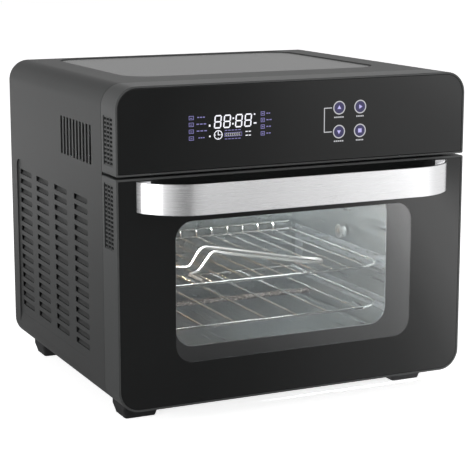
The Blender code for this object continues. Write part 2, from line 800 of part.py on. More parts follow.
def rotisserie():
    """A driven socket in the right wall and a hanger for the spit on the left wall."""
    profile = [(3.6, 141), (8, 141), (8, 148), (3, 148), (3, 163), (0, 163), (0, 147), (3.6, 147)]
    socket = bmesh.new()
    add_turned(socket, "x", SPIT, profile, 14)
    make("rotisserie_socket", socket, CHROME)
    gearbox = bmesh.new()
    add_box(gearbox, (152, SPIT[0] - 25, SPIT[1] - 25), (182, SPIT[0] + 25, SPIT[1] + 25))
    body = make("rotisserie_motor", gearbox, DARK_STEEL)
    bore = bmesh.new()
    add_prism(bore, "x", 151, 166, circle(*SPIT, 3.6, 14))
    carve(body, bore)
    d, h = SPIT
    saddle = arc((d, h - 2), 6, math.pi, 2 * math.pi, 6)
    outline = [(d - 12, h + 18), (d - 12, h - 11), (d + 12, h - 11), (d + 12, h + 18), (d + 6, h + 14),
               *saddle[::-1], (d - 6, h + 14)]
    hanger = bmesh.new()
    add_prism(hanger, "x", -WALL + GAP, -143, outline)
    make("rotisserie_hanger", hanger, CHROME)


# ---------------------------------------------------------------- door

def door_frame():
    outer = rounded_rect(-HALF, 0, HALF, DOOR_TOP, (CORNER, CORNER, 1.5, 1.5), 5)
    inner = rounded_rect(-HALF + DOOR_WALL, 9, HALF - DOOR_WALL, 216.5, (12.0, 12.0, 3.0, 3.0))
    shape = bmesh.new()
    add_prism(shape, "d", 0, STRIP, outer, [inner])
    body = make("door_frame", shape, BLACK_PLASTIC)
    pocket = bmesh.new()
    add_prism(pocket, "d", -1, POCKET_DEPTH,
              rounded_rect(-HALF + LIP, LIP, HALF - LIP, DOOR_TOP - LIP,
                           (CORNER - LIP, CORNER - LIP, 1.0, 1.0), 5))
    carve(body, pocket)
    heel = bmesh.new()
    swing = STRIP - PIVOT_D
    add_prism(heel, "x", -HALF - 1, HALF + 1,
              [*arc((PIVOT_D, PIVOT_H), swing, 0, -math.radians(60), 8),
               (STRIP + 1, -2), (STRIP + 1, PIVOT_H)])
    carve(body, heel)
    openings = bmesh.new()
    for side in (-1, 1):
        add_strip_slots(openings, side, 158.5, 15)
        near, far = side * (HINGE_X - NOTCH_HALF + 2), side * (HINGE_X + NOTCH_HALF + 2)
        add_box(openings, (min(near, far), 18, -1), (max(near, far), STRIP + 1, 10))
    carve(body, openings)
    return body


def door_glass_outer():
    edge = LIP + GAP
    outline = rounded_rect(-HALF + edge, edge, HALF - edge, DOOR_TOP - edge,
                           (CORNER - edge, CORNER - edge, 1.0, 1.0), 5)
    holes = [circle(side * SCREW_X, SCREW_H, 2.6, 12) for side in (-1, 1)]
    shape = bmesh.new()
    add_prism(shape, "d", GLASS_FRONT, GLASS_FRONT + GLASS_THICKNESS, outline, holes)
    return make("door_glass_outer", shape, CLEAR_GLASS)


def door_inner_panel():
    """A pressed pan behind the outer glass with the viewing opening in its floor."""
    edge = DOOR_WALL + GAP
    shape = bmesh.new()
    add_prism(shape, "d", PAN_REAR, PAN_REAR + SHEET,
              rounded_rect(-HALF + edge, 9 + GAP, HALF - edge, 216.5 - GAP, (11.7, 11.7, 2.7, 2.7)))
    body = make("door_inner_panel", shape, DARK_STEEL)
    pan = bmesh.new()
    add_prism(pan, "d", PAN_FRONT, PAN_REAR + 0.5,
              rounded_rect(-PAN_HALF, PAN_LOW, PAN_HALF, PAN_HIGH, PAN_CORNER))
    join(body, pan)
    hollow = bmesh.new()
    add_prism(hollow, "d", PAN_FRONT + SHEET, PAN_REAR + 2,
              rounded_rect(-PAN_HALF + SHEET, PAN_LOW + SHEET, PAN_HALF - SHEET, PAN_HIGH - SHEET,
                           PAN_CORNER - SHEET))
    for side in (-1, 1):
        near, far = side * (HINGE_X - NOTCH_HALF + 2), side * (HINGE_X + NOTCH_HALF + 2)
        add_box(hollow, (min(near, far), PAN_REAR - 1, 8), (max(near, far), PAN_REAR + 2, 21))
    carve(body, hollow)
    opening = bmesh.new()
    add_prism(opening, "d", PAN_FRONT - 1, PAN_FRONT + 2,
              rounded_rect(-OPENING_HALF, OPENING_LOW, OPENING_HALF, OPENING_HIGH, OPENING_CORNER))
    carve(body, opening)
    return body


def door_glass_inner():
    edge = SHEET + 2 * GAP
    front = PAN_FRONT + SHEET + GAP
    shape = bmesh.new()
    add_prism(shape, "d", front, front + INNER_GLASS,
              rounded_rect(-PAN_HALF + edge, PAN_LOW + edge, PAN_HALF - edge, PAN_HIGH - edge,
                           PAN_CORNER - edge))
    return make("door_glass_inner", shape, CLEAR_GLASS)


def handle_half(radius, end_depth):
    """One bend in plan: from the flat run round to a depth near the glass."""
    centre = (HANDLE_FLAT, HANDLE_BEND - HANDLE_REACH)
    turn = math.acos((centre[1] - end_depth) / radius)
    return arc(centre, radius, -math.pi / 2, -math.pi / 2 + turn, 9)


def door_handle():
    """A flat steel band, bowed forward of the door, with a tab turned in at each end."""
    rear = GLASS_FRONT - GAP
    outer = handle_half(HANDLE_BEND, rear)
    inner = handle_half(HANDLE_BEND - HANDLE_SHEET, rear - HANDLE_SHEET)
    right = outer + [(HANDLE_TAB, rear), (HANDLE_TAB, rear - HANDLE_SHEET)] + inner[::-1]
    left = [(-x, d) for x, d in right[::-1]]
    split = len(inner)
    outline = right[:-split] + right[-split:] + left[:split] + left[split:]
    shape = bmesh.new()
    add_prism(shape, "h", HANDLE_LOW, HANDLE_HIGH, outline)
    body = make("door_handle", shape, BRUSHED)
    holes = bmesh.new()
    for side in (-1, 1):
        add_prism(holes, "d", rear - HANDLE_SHEET - 1, rear + 1, circle(side * SCREW_X, SCREW_H, 2.4, 12))
    carve(body, holes)
    return body


def handle_screw(name, side):
    head = POCKET_DEPTH
    shape = bmesh.new()
    profile = [(0, -1.3), (2, -1.3), (2, head), (5, head), (5, head + 2.5), (0, head + 2.5)]
    add_turned(shape, "d", (side * SCREW_X, SCREW_H), profile, 12)
    return make(name, shape, DARK_STEEL)


def hinge_arm(name, side):
    outline = [(18.8, 6), (21, 3.8), (28, 3.8), (32, 8), (32, 12), (28, 16.5), (20, 24), (19, 80),
               (8, 80), (8, 24), (18.8, 13)]
    x = HINGE_X + 2.5
    shape = bmesh.new()
    add_prism(shape, "x", side * x, side * (x + 2), outline, [circle(PIVOT_D, PIVOT_H, PIN_HOLE, 14)])
    return make(name, shape, DARK_STEEL)


def hinge_bracket(name, side):
    rear = FRAME_FRONT - GAP
    x = HINGE_X - 2.5
    outline = [(20.5, 7), (23, 4.5), (rear, 4.5), (rear, 16), (24, 16), (20.5, 13)]
    shape = bmesh.new()
    add_prism(shape, "x", side * x, side * (x + 2), outline)
    body = make(name, shape, DARK_STEEL)
    foot = bmesh.new()
    near, far = side * (x + 0.5), side * (x + 13)
    add_box(foot, (min(near, far), rear - 1, 3), (max(near, far), rear, 20))
    join(body, foot)
    hole = bmesh.new()
    add_prism(hole, "x", side * (x - 1), side * (x + 3), circle(PIVOT_D, PIVOT_H, PIN_HOLE, 14))
    carve(body, hole)
    return body


def hinge_pin(name, side):
    head = HINGE_X - 5.5
    profile = [(0, head), (4, head), (4, head + 2.5), (PIN_RADIUS, head + 2.5), (PIN_RADIUS, head + 12),
               (0, head + 12)]
    shape = bmesh.new()
    add_turned(shape, "x", (PIVOT_D, PIVOT_H), [(r, side * along) for r, along in profile], 14)
    return make(name, shape, CHROME)


def door_gasket():
    """A seal up both sides and over the top of the opening."""
    outline = [(-158, 24), (-153, 24), (-153, 207), (153, 207), (153, 24), (158, 24), (158, 212), (-158, 212)]
    shape = bmesh.new()
    add_prism(shape, "d", PAN_REAR + SHEET + GAP, FRAME_FRONT - GAP, outline)
    return make("door_gasket", shape, SILICONE)


# ---------------------------------------------------------------- assembly

def build_fixed():
    cabinet_shell()
    base_pan()
    rear_panel()
    rear_screws()
    cord_gland()
    feet()
    front_frame()
    control_housing()
    control_glass()
    display_module()
    touch_board()
    power_board()
    door_switch()
    cavity_liner()
    lower_heater("lower_heater_front", HEATER_DEPTHS[0])
    lower_heater("lower_heater_rear", HEATER_DEPTHS[1])
    upper_heater()
    heater_guard()
    convection_chamber()
    fan_motor()
    motor_bracket()
    thermal_cutout()
    temperature_probe()
    lamp()
    rotisserie()
    door_gasket()
    for side, end in ((-1, "left"), (1, "right")):
        rack_guide(f"rack_guide_{end}", side)
        hinge_bracket(f"hinge_bracket_{end}", side)
        hinge_pin(f"hinge_pin_{end}", side)


def build_door():
    pieces = [door_frame(), door_glass_outer(), door_inner_panel(), door_glass_inner(), door_handle()]
    for side, end in ((-1, "left"), (1, "right")):
        pieces.append(handle_screw(f"handle_screw_{end}", side))
        pieces.append(hinge_arm(f"hinge_arm_{end}", side))
    axis_empty("door_axis", (0, PIVOT_D, PIVOT_H), pieces)


def build_moving():
    wheel = bladed_wheel("convection_fan", 10, 62.0, 219, 236.5, 237.5, ALUMINIUM)
    cooler = bladed_wheel("cooling_fan", 8, 46.0, 249, 259.5, 260.5, ALUMINIUM)
    axis_empty("fan_axis", (0, FAN_D, 212), [wheel, cooler, fan_shaft()])
    axis_empty("spit_axis", (141, *SPIT), [bpy.data.objects["rotisserie_socket"]])
    axis_empty("plunger_axis", (SWITCH[0], STRIP, SWITCH[1]), [switch_plunger()])
    axis_empty("upper_rack_axis", (0, RACK_FRONT, UPPER_LEVEL), [upper_rack()])
    axis_empty("lower_rack_axis", (0, RACK_FRONT, LOWER_LEVEL), [lower_rack()])
    axis_empty("crumb_tray_axis", (0, 44, CAVITY_LOW), [crumb_tray()])
    axis_empty("fetch_tool_axis", (0, 110, UPPER_LEVEL), [fetch_tool()])


for old in list(bpy.data.objects):
    bpy.data.objects.remove(old)
build_fixed()
build_door()
build_moving()
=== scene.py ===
import math

import bmesh
import bpy
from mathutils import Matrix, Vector
from mathutils.geometry import tessellate_polygon


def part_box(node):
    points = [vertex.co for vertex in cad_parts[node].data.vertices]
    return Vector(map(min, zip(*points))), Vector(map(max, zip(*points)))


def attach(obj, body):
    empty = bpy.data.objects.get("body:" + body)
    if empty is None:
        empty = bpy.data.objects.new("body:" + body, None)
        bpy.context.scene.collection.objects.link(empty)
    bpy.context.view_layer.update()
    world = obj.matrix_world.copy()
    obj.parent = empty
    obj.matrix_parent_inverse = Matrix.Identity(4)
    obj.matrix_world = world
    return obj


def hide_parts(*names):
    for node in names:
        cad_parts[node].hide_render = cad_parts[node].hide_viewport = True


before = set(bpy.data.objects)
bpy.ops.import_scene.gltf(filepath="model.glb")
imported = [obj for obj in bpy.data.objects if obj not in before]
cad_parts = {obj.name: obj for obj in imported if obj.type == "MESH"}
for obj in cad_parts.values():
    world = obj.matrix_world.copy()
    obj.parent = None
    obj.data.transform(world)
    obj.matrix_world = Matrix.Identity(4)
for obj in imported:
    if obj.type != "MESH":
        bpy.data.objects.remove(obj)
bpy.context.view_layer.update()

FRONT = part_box("door_frame")[0].y
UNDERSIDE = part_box("door_frame")[0].z
MM = 0.001

# Cabinet and front
HALF = 190.0
DEPTH = 327.0
HEIGHT = 312.0
CORNER = 21.5
STRIP = 38.0
CABINET_FRONT = 38.4
SHEET = 1.0
GAP = 0.3
LIP = 2.0
ROUND_STEPS = 14
GLASS_FRONT = 0.5
GLASS_REAR = 4.5
PRINT_DEPTH = 0.6
POCKET_DEPTH = 4.8
DOOR_TOP = 226.0
PANEL_BOTTOM = 228.2

# Cabinet pressings
RECESS = (76.0, 32.0, 308.0, 205.7)
RECESS_DEPTH = 1.6
RECESS_RAMP = 13.0
LOUVRE_COLUMNS = (103.5, 164.5, 223.5, 280.0)
LOUVRE_ROWS = 15
LOUVRE_PITCH = 10.55
LOUVRE_TOP = 192.3
LOUVRE_SIZE = (40.0, 5.6)
TONGUE_SHEET = 0.7
VENT_COUNT = 10
VENT_FIRST = 69.0
VENT_PITCH = 9.33
VENT_SIZE = (5.3, 38.3)
VENT_H = 250.6
TOP_RECESS = (-142.0, 84.0, 142.0, 318.0)
TOP_RECESS_DEPTH = 1.4
RECESS_CORNER = 8.0
TOP_CORNER = 30.0

# Grilles in the front strips: first row and number of rows
PANEL_GRILLE = (238.5, 11)
DOOR_GRILLE = (158.5, 15)
GRILLE_PITCH = 4.1
GRILLE_SLOT = 2.0
GRILLE_DEPTHS = (9.0, 32.0)
GRILLE_COLUMNS = 3
GRILLE_BAR = 1.3

# Door
DOOR_WALL = 10.0
DOOR_SPACE = (9.0, 216.5)
DOOR_SPACE_CORNERS = (12.0, 3.0)
PAN_FRONT = 29.8
PAN_REAR = 33.8
PAN = (-150.0, 31.0, 150.0, 200.0)
PAN_CORNER = 22.0
OPENING = (-118.0, 50.3, 118.0, 186.0)
OPENING_CORNER = 18.0
WINDOW = (-130.5, 43.0, 129.5, 181.5)
WINDOW_CORNER = 18.0
HINGE_X = 165.0
NOTCH = (-7.5, 11.5)
PIVOT_D = 26.0
PIVOT_H = 10.0
TILE = 0.06
SCREW_X = 163.0
SCREW_HOLE = 2.6
HANDLE_LOW = 193.6
HANDLE_HIGH = 223.0
HANDLE_REACH = 37.5
HANDLE_FLAT = 115.0
HANDLE_BEND = 59.0
HANDLE_SHEET = 2.0
HANDLE_TAB = 156.0

# Racks
RACK_HALF = 145.0
RACK_FRONT = 68.0
RACK_CORNER = 36.0
LOWER_LEVEL = 55.2
UPPER_LEVEL = 99.5
LOWER_REAR = 290.0
UPPER_REAR = 297.0
LOWER_WIRES = [36.0 * i for i in range(-3, 4)]
UPPER_WIRES = [20.0 * i for i in range(-6, 7)]
UPPER_STOP = 12.0
LAMP = (100.0, 150.0)


# ---------------------------------------------------------------- shapes

def place(x, d, h):
    return Vector((x * MM, FRONT + d * MM, UNDERSIDE + h * MM))


def on_axis(axis, u, v, along):
    if axis == "x":
        return place(along, u, v)
    if axis == "d":
        return place(u, along, v)
    return place(u, v, along)


def arc(centre, radius, first, last, steps):
    angles = [first + (last - first) * i / steps for i in range(steps + 1)]
    return [(centre[0] + radius * math.cos(a), centre[1] + radius * math.sin(a)) for a in angles]


def circle(u, v, radius, sides=32):
    return arc((u, v), radius, 0, 2 * math.pi, sides)[:-1]


def rect(u0, v0, u1, v1):
    return [(u0, v0), (u1, v0), (u1, v1), (u0, v1)]


def rounded_rect(u0, v0, u1, v1, radii, steps=ROUND_STEPS):
    """Corners in the order lower left, lower right, upper right, upper left."""
    if not isinstance(radii, tuple):
        radii = (radii,) * 4
    inward = ((1, 1), (-1, 1), (-1, -1), (1, -1))
    corners = ((u0, v0), (u1, v0), (u1, v1), (u0, v1))
    points = []
    for index, (corner, side, radius) in enumerate(zip(corners, inward, radii)):
        centre = (corner[0] + side[0] * radius, corner[1] + side[1] * radius)
        first = math.pi * (1 + index / 2)
        points += arc(centre, radius, first, first + math.pi / 2, steps)
    return points


def add_prism(shape, axis, low, high, outline, holes=()):
    loops = [outline, *holes]
    flat = [point for loop in loops for point in loop]
    near = [shape.verts.new(on_axis(axis, u, v, low)) for u, v in flat]
    far = [shape.verts.new(on_axis(axis, u, v, high)) for u, v in flat]
    if holes:
        caps = tessellate_polygon([[Vector((u, v, 0)) for u, v in loop] for loop in loops])
    else:
        caps = [range(len(outline))]
    for cap in caps:
        shape.faces.new([near[i] for i in cap])
        shape.faces.new([far[i] for i in cap])
    start = 0
    for loop in loops:
        count = len(loop)
        for i in range(count):
            a = start + i
            b = start + (i + 1) % count
            shape.faces.new((near[a], near[b], far[b], far[a]))
        start += count


def add_box(shape, low, high):
    add_prism(shape, "d", low[1], high[1], rect(low[0], low[2], high[0], high[2]))


def add_flat(shape, d, outline):
    """A thin tile on the front, for lit graphics."""
    add_prism(shape, "d", d, d + TILE, outline)


def mesh_object(name, shape):
    bmesh.ops.recalc_face_normals(shape, faces=shape.faces)
    mesh = bpy.data.meshes.new(name)
    shape.to_mesh(mesh)
    shape.free()
    body = bpy.data.objects.new(name, mesh)
    bpy.context.collection.objects.link(body)
    return body


def combine(body, shape, operation="DIFFERENCE"):
    """Cuts a shape out of a body, or joins it on, and keeps the result as the body's mesh."""
    tool = mesh_object(body.name + "_tool", shape)
    modifier = body.modifiers.new("combine", "BOOLEAN")
    modifier.operation = operation
    modifier.object = tool
    graph = bpy.context.evaluated_depsgraph_get()
    mesh = bpy.data.meshes.new_from_object(body.evaluated_get(graph))
    body.modifiers.clear()
    body.data = mesh
    bpy.data.objects.remove(tool)


def soften(body, width=0.5, segments=2, angle=35):
    """Rounded edges with even shading."""
    bevel = body.modifiers.new("edges", "BEVEL")
    bevel.width = width * MM
    bevel.segments = segments
    bevel.limit_method = "ANGLE"
    bevel.angle_limit = math.radians(angle)
    bevel.harden_normals = True
    body.data.shade_smooth()


def finish(body, material, rides, stands_for=()):
    body.data.materials.clear()
    body.data.materials.append(material)
    if body.type == "MESH" and not body.modifiers:
        body.data.shade_smooth()
        body.data.set_sharp_from_angle(angle=math.radians(30))
    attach(body, rides)
    if stands_for:
        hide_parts(*stands_for)
    return body


def wire(name, routes, material, rides, stands_for=()):
    """Round wires, each a route of points with its radius, and closed if it ends where it began."""
    curve = bpy.data.curves.new(name, "CURVE")
    curve.dimensions = "3D"
    curve.bevel_depth = MM
    curve.bevel_resolution = 4
    curve.use_fill_caps = True
    for radius, points in routes:
        closed = points[0] == points[-1]
        used = points[:-1] if closed else points
        spline = curve.splines.new("POLY")
        spline.use_cyclic_u = closed
        spline.points.add(len(used) - 1)
        for slot_point, point in zip(spline.points, used):
            slot_point.co = (*place(*point), 1.0)
            slot_point.radius = radius
    body = bpy.data.objects.new(name, curve)
    bpy.context.collection.objects.link(body)
    return finish(body, material, rides, stands_for)


# ---------------------------------------------------------------- materials

def surface(name, colour, roughness, metallic=0.0, grain=(900, 900, 900), mottle=0.08, wear=0.06,
            bump=0.06, ior=1.5, alpha=1.0, broad=9.0):
    """A finish with fine grain in its bump, and broad soft variation in its colour and gloss."""
    material = bpy.data.materials.new(name)
    material.use_nodes = True
    nodes = material.node_tree.nodes
    links = material.node_tree.links
    shader = nodes["Principled BSDF"]
    shader.inputs["Metallic"].default_value = metallic
    shader.inputs["IOR"].default_value = ior
    shader.inputs["Alpha"].default_value = alpha
    coordinates = nodes.new("ShaderNodeTexCoord")
    broad_noise = nodes.new("ShaderNodeTexNoise")
    broad_noise.inputs["Scale"].default_value = broad
    broad_noise.inputs["Detail"].default_value = 4
    links.new(coordinates.outputs["Object"], broad_noise.inputs["Vector"])
    tint = nodes.new("ShaderNodeValToRGB")
    tint.color_ramp.elements[0].position = 0.3
    tint.color_ramp.elements[1].position = 0.7
    tint.color_ramp.elements[0].color = (*[c * (1 - mottle) for c in colour], 1)
    tint.color_ramp.elements[1].color = (*[min(1, c * (1 + mottle)) for c in colour], 1)
    links.new(broad_noise.outputs["Fac"], tint.inputs["Fac"])
    links.new(tint.outputs["Color"], shader.inputs["Base Color"])
    mapping = nodes.new("ShaderNodeMapping")
    mapping.inputs["Scale"].default_value = grain
    links.new(coordinates.outputs["Object"], mapping.inputs["Vector"])
    fine = nodes.new("ShaderNodeTexNoise")
    fine.inputs["Scale"].default_value = 1.0
    fine.inputs["Detail"].default_value = 3
    links.new(mapping.outputs["Vector"], fine.inputs["Vector"])
    gloss = nodes.new("ShaderNodeMapRange")
    gloss.inputs["From Min"].default_value = 0.3
    gloss.inputs["From Max"].default_value = 0.7
    gloss.inputs["To Min"].default_value = max(0.01, roughness - wear)
    gloss.inputs["To Max"].default_value = roughness + wear
    links.new(fine.outputs["Fac"], gloss.inputs["Value"])
    links.new(gloss.outputs["Result"], shader.inputs["Roughness"])
    relief = nodes.new("ShaderNodeBump")
    relief.inputs["Strength"].default_value = bump
    relief.inputs["Distance"].default_value = 0.0003
    links.new(fine.outputs["Fac"], relief.inputs["Height"])
    links.new(relief.outputs["Normal"], shader.inputs["Normal"])
    return material


def brushed(material):
    """Highlights drawn out across level brush lines."""
    shader = material.node_tree.nodes["Principled BSDF"]
    shader.inputs["Anisotropic"].default_value = 0.9
    shader.inputs["Anisotropic Rotation"].default_value = 0.25
    return material


def glow(name, colour, strength):
    material = surface(name, (0.02, 0.02, 0.02), 0.3, bump=0.0)
    shader = material.node_tree.nodes["Principled BSDF"]
    shader.inputs["Emission Color"].default_value = (*colour, 1)
    shader.inputs["Emission Strength"].default_value = strength
    return material


COATED = surface("coated_steel", (0.041, 0.042, 0.042), 0.45, grain=(1600, 1600, 1600),
                 mottle=0.05, wear=0.05, bump=0.1, ior=1.42)
# A darker copy of the coated steel: painted shade for the pressed louvre tongues.
LOUVRE_SHADE_COAT = surface("louvre_painted_shade", (0.014, 0.0145, 0.0145), 0.5, grain=(1600, 1600, 1600),
                      mottle=0.05, wear=0.05, bump=0.1, ior=1.4)
# A lighter, glossier copy of the coated steel for the top field: the gloss is its finish, the lighter
# colour is painted light.
LIT_TOP_COAT = surface("coated_field_painted_light", (0.06, 0.061, 0.06), 0.25, grain=(1600, 1600, 1600),
                       mottle=0.05, wear=0.03, bump=0.05, ior=1.65)
HOUSING = surface("moulded_housing", (0.05, 0.052, 0.052), 0.4, grain=(1100, 1100, 1100),
                  mottle=0.06, wear=0.05, bump=0.12)
# A near-black sheet: painted shade in the grille openings.
SLOT_SHADE_SHEET = surface("slot_shadow", (0.004, 0.004, 0.004), 0.8, bump=0.2)
PRINT = surface("printed_glass", (0.008, 0.0085, 0.0085), 0.04, grain=(60, 60, 60), mottle=0.1,
                wear=0.01, bump=0.0, ior=1.52)
PANE = surface("window_pane", (0.05, 0.055, 0.057), 0.03, grain=(60, 60, 60), mottle=0.1,
               wear=0.01, bump=0.0, ior=4.4, alpha=0.2)
INNER_PANE = surface("inner_pane", (0.2, 0.23, 0.24), 0.04, grain=(60, 60, 60), mottle=0.1,
                     wear=0.01, bump=0.0, ior=1.6, alpha=0.1)
PAN_STEEL = surface("enamelled_pan", (0.016, 0.016, 0.018), 0.38, metallic=0.3,
                    grain=(500, 500, 500), mottle=0.1, wear=0.08, bump=0.05)
BRUSHED = brushed(surface("brushed_steel", (0.84, 0.84, 0.85), 0.3, metallic=1.0,
                          grain=(18, 18, 5200), mottle=0.04, bump=0.12))
LINER = surface("liner_steel", (0.3, 0.315, 0.315), 0.33, metallic=1.0, grain=(300, 14, 300),
                mottle=0.07, wear=0.07, bump=0.05)
STEEL = surface("plain_steel", (0.55, 0.57, 0.58), 0.32, metallic=1.0, grain=(700, 90, 700),
                mottle=0.06, wear=0.08)
CHROME = surface("chrome_wire", (0.9, 0.88, 0.85), 0.17, metallic=1.0, grain=(500, 500, 500),
                 mottle=0.04, wear=0.04, bump=0.03)
TOOL_STEEL = surface("tool_steel", (0.66, 0.64, 0.61), 0.32, metallic=1.0, grain=(500, 500, 500),
                     mottle=0.04, wear=0.04, bump=0.03)
HEATER = surface("heater_sheath", (0.66, 0.56, 0.52), 0.25, metallic=1.0, grain=(350, 350, 350),
                 mottle=0.06, wear=0.05, bump=0.03)
DARK_STEEL = surface("blackened_steel", (0.13, 0.135, 0.14), 0.4, metallic=0.9,
                     grain=(800, 800, 800), mottle=0.1, wear=0.08, bump=0.08)
ALUMINIUM = surface("cast_aluminium", (0.66, 0.67, 0.68), 0.4, metallic=1.0,
                    grain=(600, 600, 600), mottle=0.06, wear=0.1, bump=0.1)
RUBBER = surface("rubber", (0.013, 0.013, 0.014), 0.6, mottle=0.15, wear=0.1, bump=0.2)
SILICONE = surface("silicone", (0.09, 0.09, 0.095), 0.55, grain=(600, 600, 600), mottle=0.1,
                   wear=0.08, bump=0.1)
BLACK_PLASTIC = surface("black_plastic", (0.022, 0.023, 0.024), 0.45, grain=(1000, 1000, 1000),
                        mottle=0.1, wear=0.08, bump=0.12)
BOARD = surface("circuit_board", (0.02, 0.13, 0.055), 0.42, grain=(700, 700, 700), mottle=0.2,
                wear=0.1, bump=0.15)
LAMP_GLASS = surface("lamp_glass", (0.95, 0.88, 0.7), 0.08, grain=(200, 200, 200), mottle=0.05,
                     wear=0.03, bump=0.0, alpha=0.45)
LAMP_COVER = surface("lamp_cover_glass", (0.5, 0.52, 0.52), 0.08, grain=(200, 200, 200),
                     mottle=0.05, wear=0.04, bump=0.0, ior=1.6, alpha=0.15)
WHITE_GLOW = glow("display_white", (0.93, 0.93, 1.0), 1.1)
LILAC_GLOW = glow("display_lilac", (0.42, 0.38, 0.9), 0.5)
DIM_GLOW = glow("display_dim", (0.78, 0.78, 0.82), 0.68)
KEY_GLOW = glow("key_symbol", (0.6, 0.55, 1.0), 0.85)
VIOLET_GLOW = glow("key_violet", (0.05, 0.035, 0.25), 0.32)


# ---------------------------------------------------------------- cabinet

def wrap_outline(inset):
    """The wrap in section: sides, top and rounded bottom edges, open along the underside."""
    radius = CORNER - inset
    outline = rounded_rect(-HALF + inset, inset, HALF - inset, HEIGHT - inset, radius)
    edge = HALF - CORNER - 3.5
    split = ROUND_STEPS + 1
    return [(edge, inset), *outline[split:], *outline[:split], (-edge, inset)]


def louvre_places():
    return [(column, LOUVRE_TOP - row * LOUVRE_PITCH) for column in LOUVRE_COLUMNS
            for row in range(LOUVRE_ROWS)]


def louvre_outline(d, h, margin=0.0):
    length, height = LOUVRE_SIZE
    near, far = d - length / 2 - margin, d + length / 2 + margin
    low, high = h - height / 2 - margin, h + height / 2 + margin
    round_end = height / 2 + margin - 0.05
    return rounded_rect(near, low, far, high, (round_end, 0.6, 0.6, round_end), 6)


def ramp_outline(side, h0):
    """The slope that runs out of the side recess along its lower edge."""
    floor = side * (HALF - RECESS_DEPTH)
    outside = side * (HALF + 1)
    return [(floor, h0 + 8), (floor, h0 + 1), (side * (HALF + 0.1), h0 - RECESS_RAMP),
            (outside, h0 - RECESS_RAMP), (outside, h0 + 8)]


def cabinet():
    shape = bmesh.new()
    add_prism(shape, "d", CABINET_FRONT, DEPTH, wrap_outline(0) + wrap_outline(SHEET)[::-1])
    body = mesh_object("cabinet_wrap", shape)
    pads, pockets, ramps, slots = bmesh.new(), bmesh.new(), bmesh.new(), bmesh.new()
    d0, h0, d1, h1 = RECESS
    for side in (-1, 1):
        add_prism(pads, "x", side * (HALF - 0.5), side * (HALF - RECESS_DEPTH - SHEET),
                  rounded_rect(d0 - 1, h0 - RECESS_RAMP - 1, d1 + 1, h1 + 1, RECESS_CORNER + 1))
        add_prism(pockets, "x", side * (HALF + 1), side * (HALF - RECESS_DEPTH),
                  rounded_rect(d0, h0, d1, h1, RECESS_CORNER))
        add_prism(ramps, "d", d0, d1, ramp_outline(side, h0))
        for d, h in louvre_places():
            add_prism(slots, "x", side * (HALF - 1), side * (HALF - RECESS_DEPTH - 2),
                      louvre_outline(d, h))
        for i in range(VENT_COUNT):
            middle = VENT_FIRST + i * VENT_PITCH
            width, height = VENT_SIZE
            opening = rounded_rect(middle - width / 2, VENT_H - height / 2,
                                   middle + width / 2, VENT_H + height / 2, 0.8, 3)
            add_prism(slots, "x", side * (HALF + 1), side * (HALF - 2), opening)
    x0, t0, x1, t1 = TOP_RECESS
    add_prism(pads, "h", HEIGHT - 0.5, HEIGHT - TOP_RECESS_DEPTH - SHEET,
              rounded_rect(x0 - 1, t0 - 1, x1 + 1, t1 + 1, TOP_CORNER + 1))
    add_prism(pockets, "h", HEIGHT + 1, HEIGHT - TOP_RECESS_DEPTH,
              rounded_rect(x0, t0, x1, t1, TOP_CORNER))
    combine(body, pads, "UNION")
    combine(body, pockets)
    combine(body, ramps)
    combine(body, slots)
    soften(body, 0.45)
    return finish(body, COATED, "oven", ["cabinet_shell"])


def top_field():
    """The smoother field inside the top's pressed border, in a lighter copy of the coated steel: the
    gloss is its finish, the lighter colour is painted light on the top.
    """
    x0, d0, x1, d1 = TOP_RECESS
    shape = bmesh.new()
    level = HEIGHT - TOP_RECESS_DEPTH
    add_prism(shape, "h", level + 0.02, level + 0.32,
              rounded_rect(x0 + 0.5, d0 + 0.5, x1 - 0.5, d1 - 0.5, TOP_CORNER - 0.5))
    return finish(mesh_object("top_field", shape), LIT_TOP_COAT, "oven", ())


def louvre_scoops():
    """The pressed tongue in each louvre: shallow at its lower front corner, deep at the upper rear, in
    a darker copy of the coated steel as painted shade.
    """
    shape = bmesh.new()
    length, height = LOUVRE_SIZE
    for side in (-1, 1):
        floor = HALF - RECESS_DEPTH
        for d, h in louvre_places():
            near, far = d - length / 2 - 0.4, d + length / 2 - 1.6
            low, high = h - height / 2 - 0.4, h + height / 2 - 0.5
            corners = ((near, low, 1.0), (far, low, 1.1), (far, high, 3.0), (near, high, 1.8))
            outer = [shape.verts.new(place(side * (floor - depth), u, v))
                     for u, v, depth in corners]
            inner = [shape.verts.new(place(side * (floor - depth - TONGUE_SHEET), u, v))
                     for u, v, depth in corners]
            shape.faces.new(outer)
            shape.faces.new(inner[::-1])
            for i in range(4):
                j = (i + 1) % 4
                shape.faces.new((outer[i], inner[i], inner[j], outer[j]))
    body = mesh_object("louvre_tongues", shape)
    return finish(body, LOUVRE_SHADE_COAT, "oven", ())


# ---------------------------------------------------------------- front strips

def grille_box(first, rows):
    return first - 1.6, first + (rows - 1) * GRILLE_PITCH + GRILLE_SLOT + 1.6


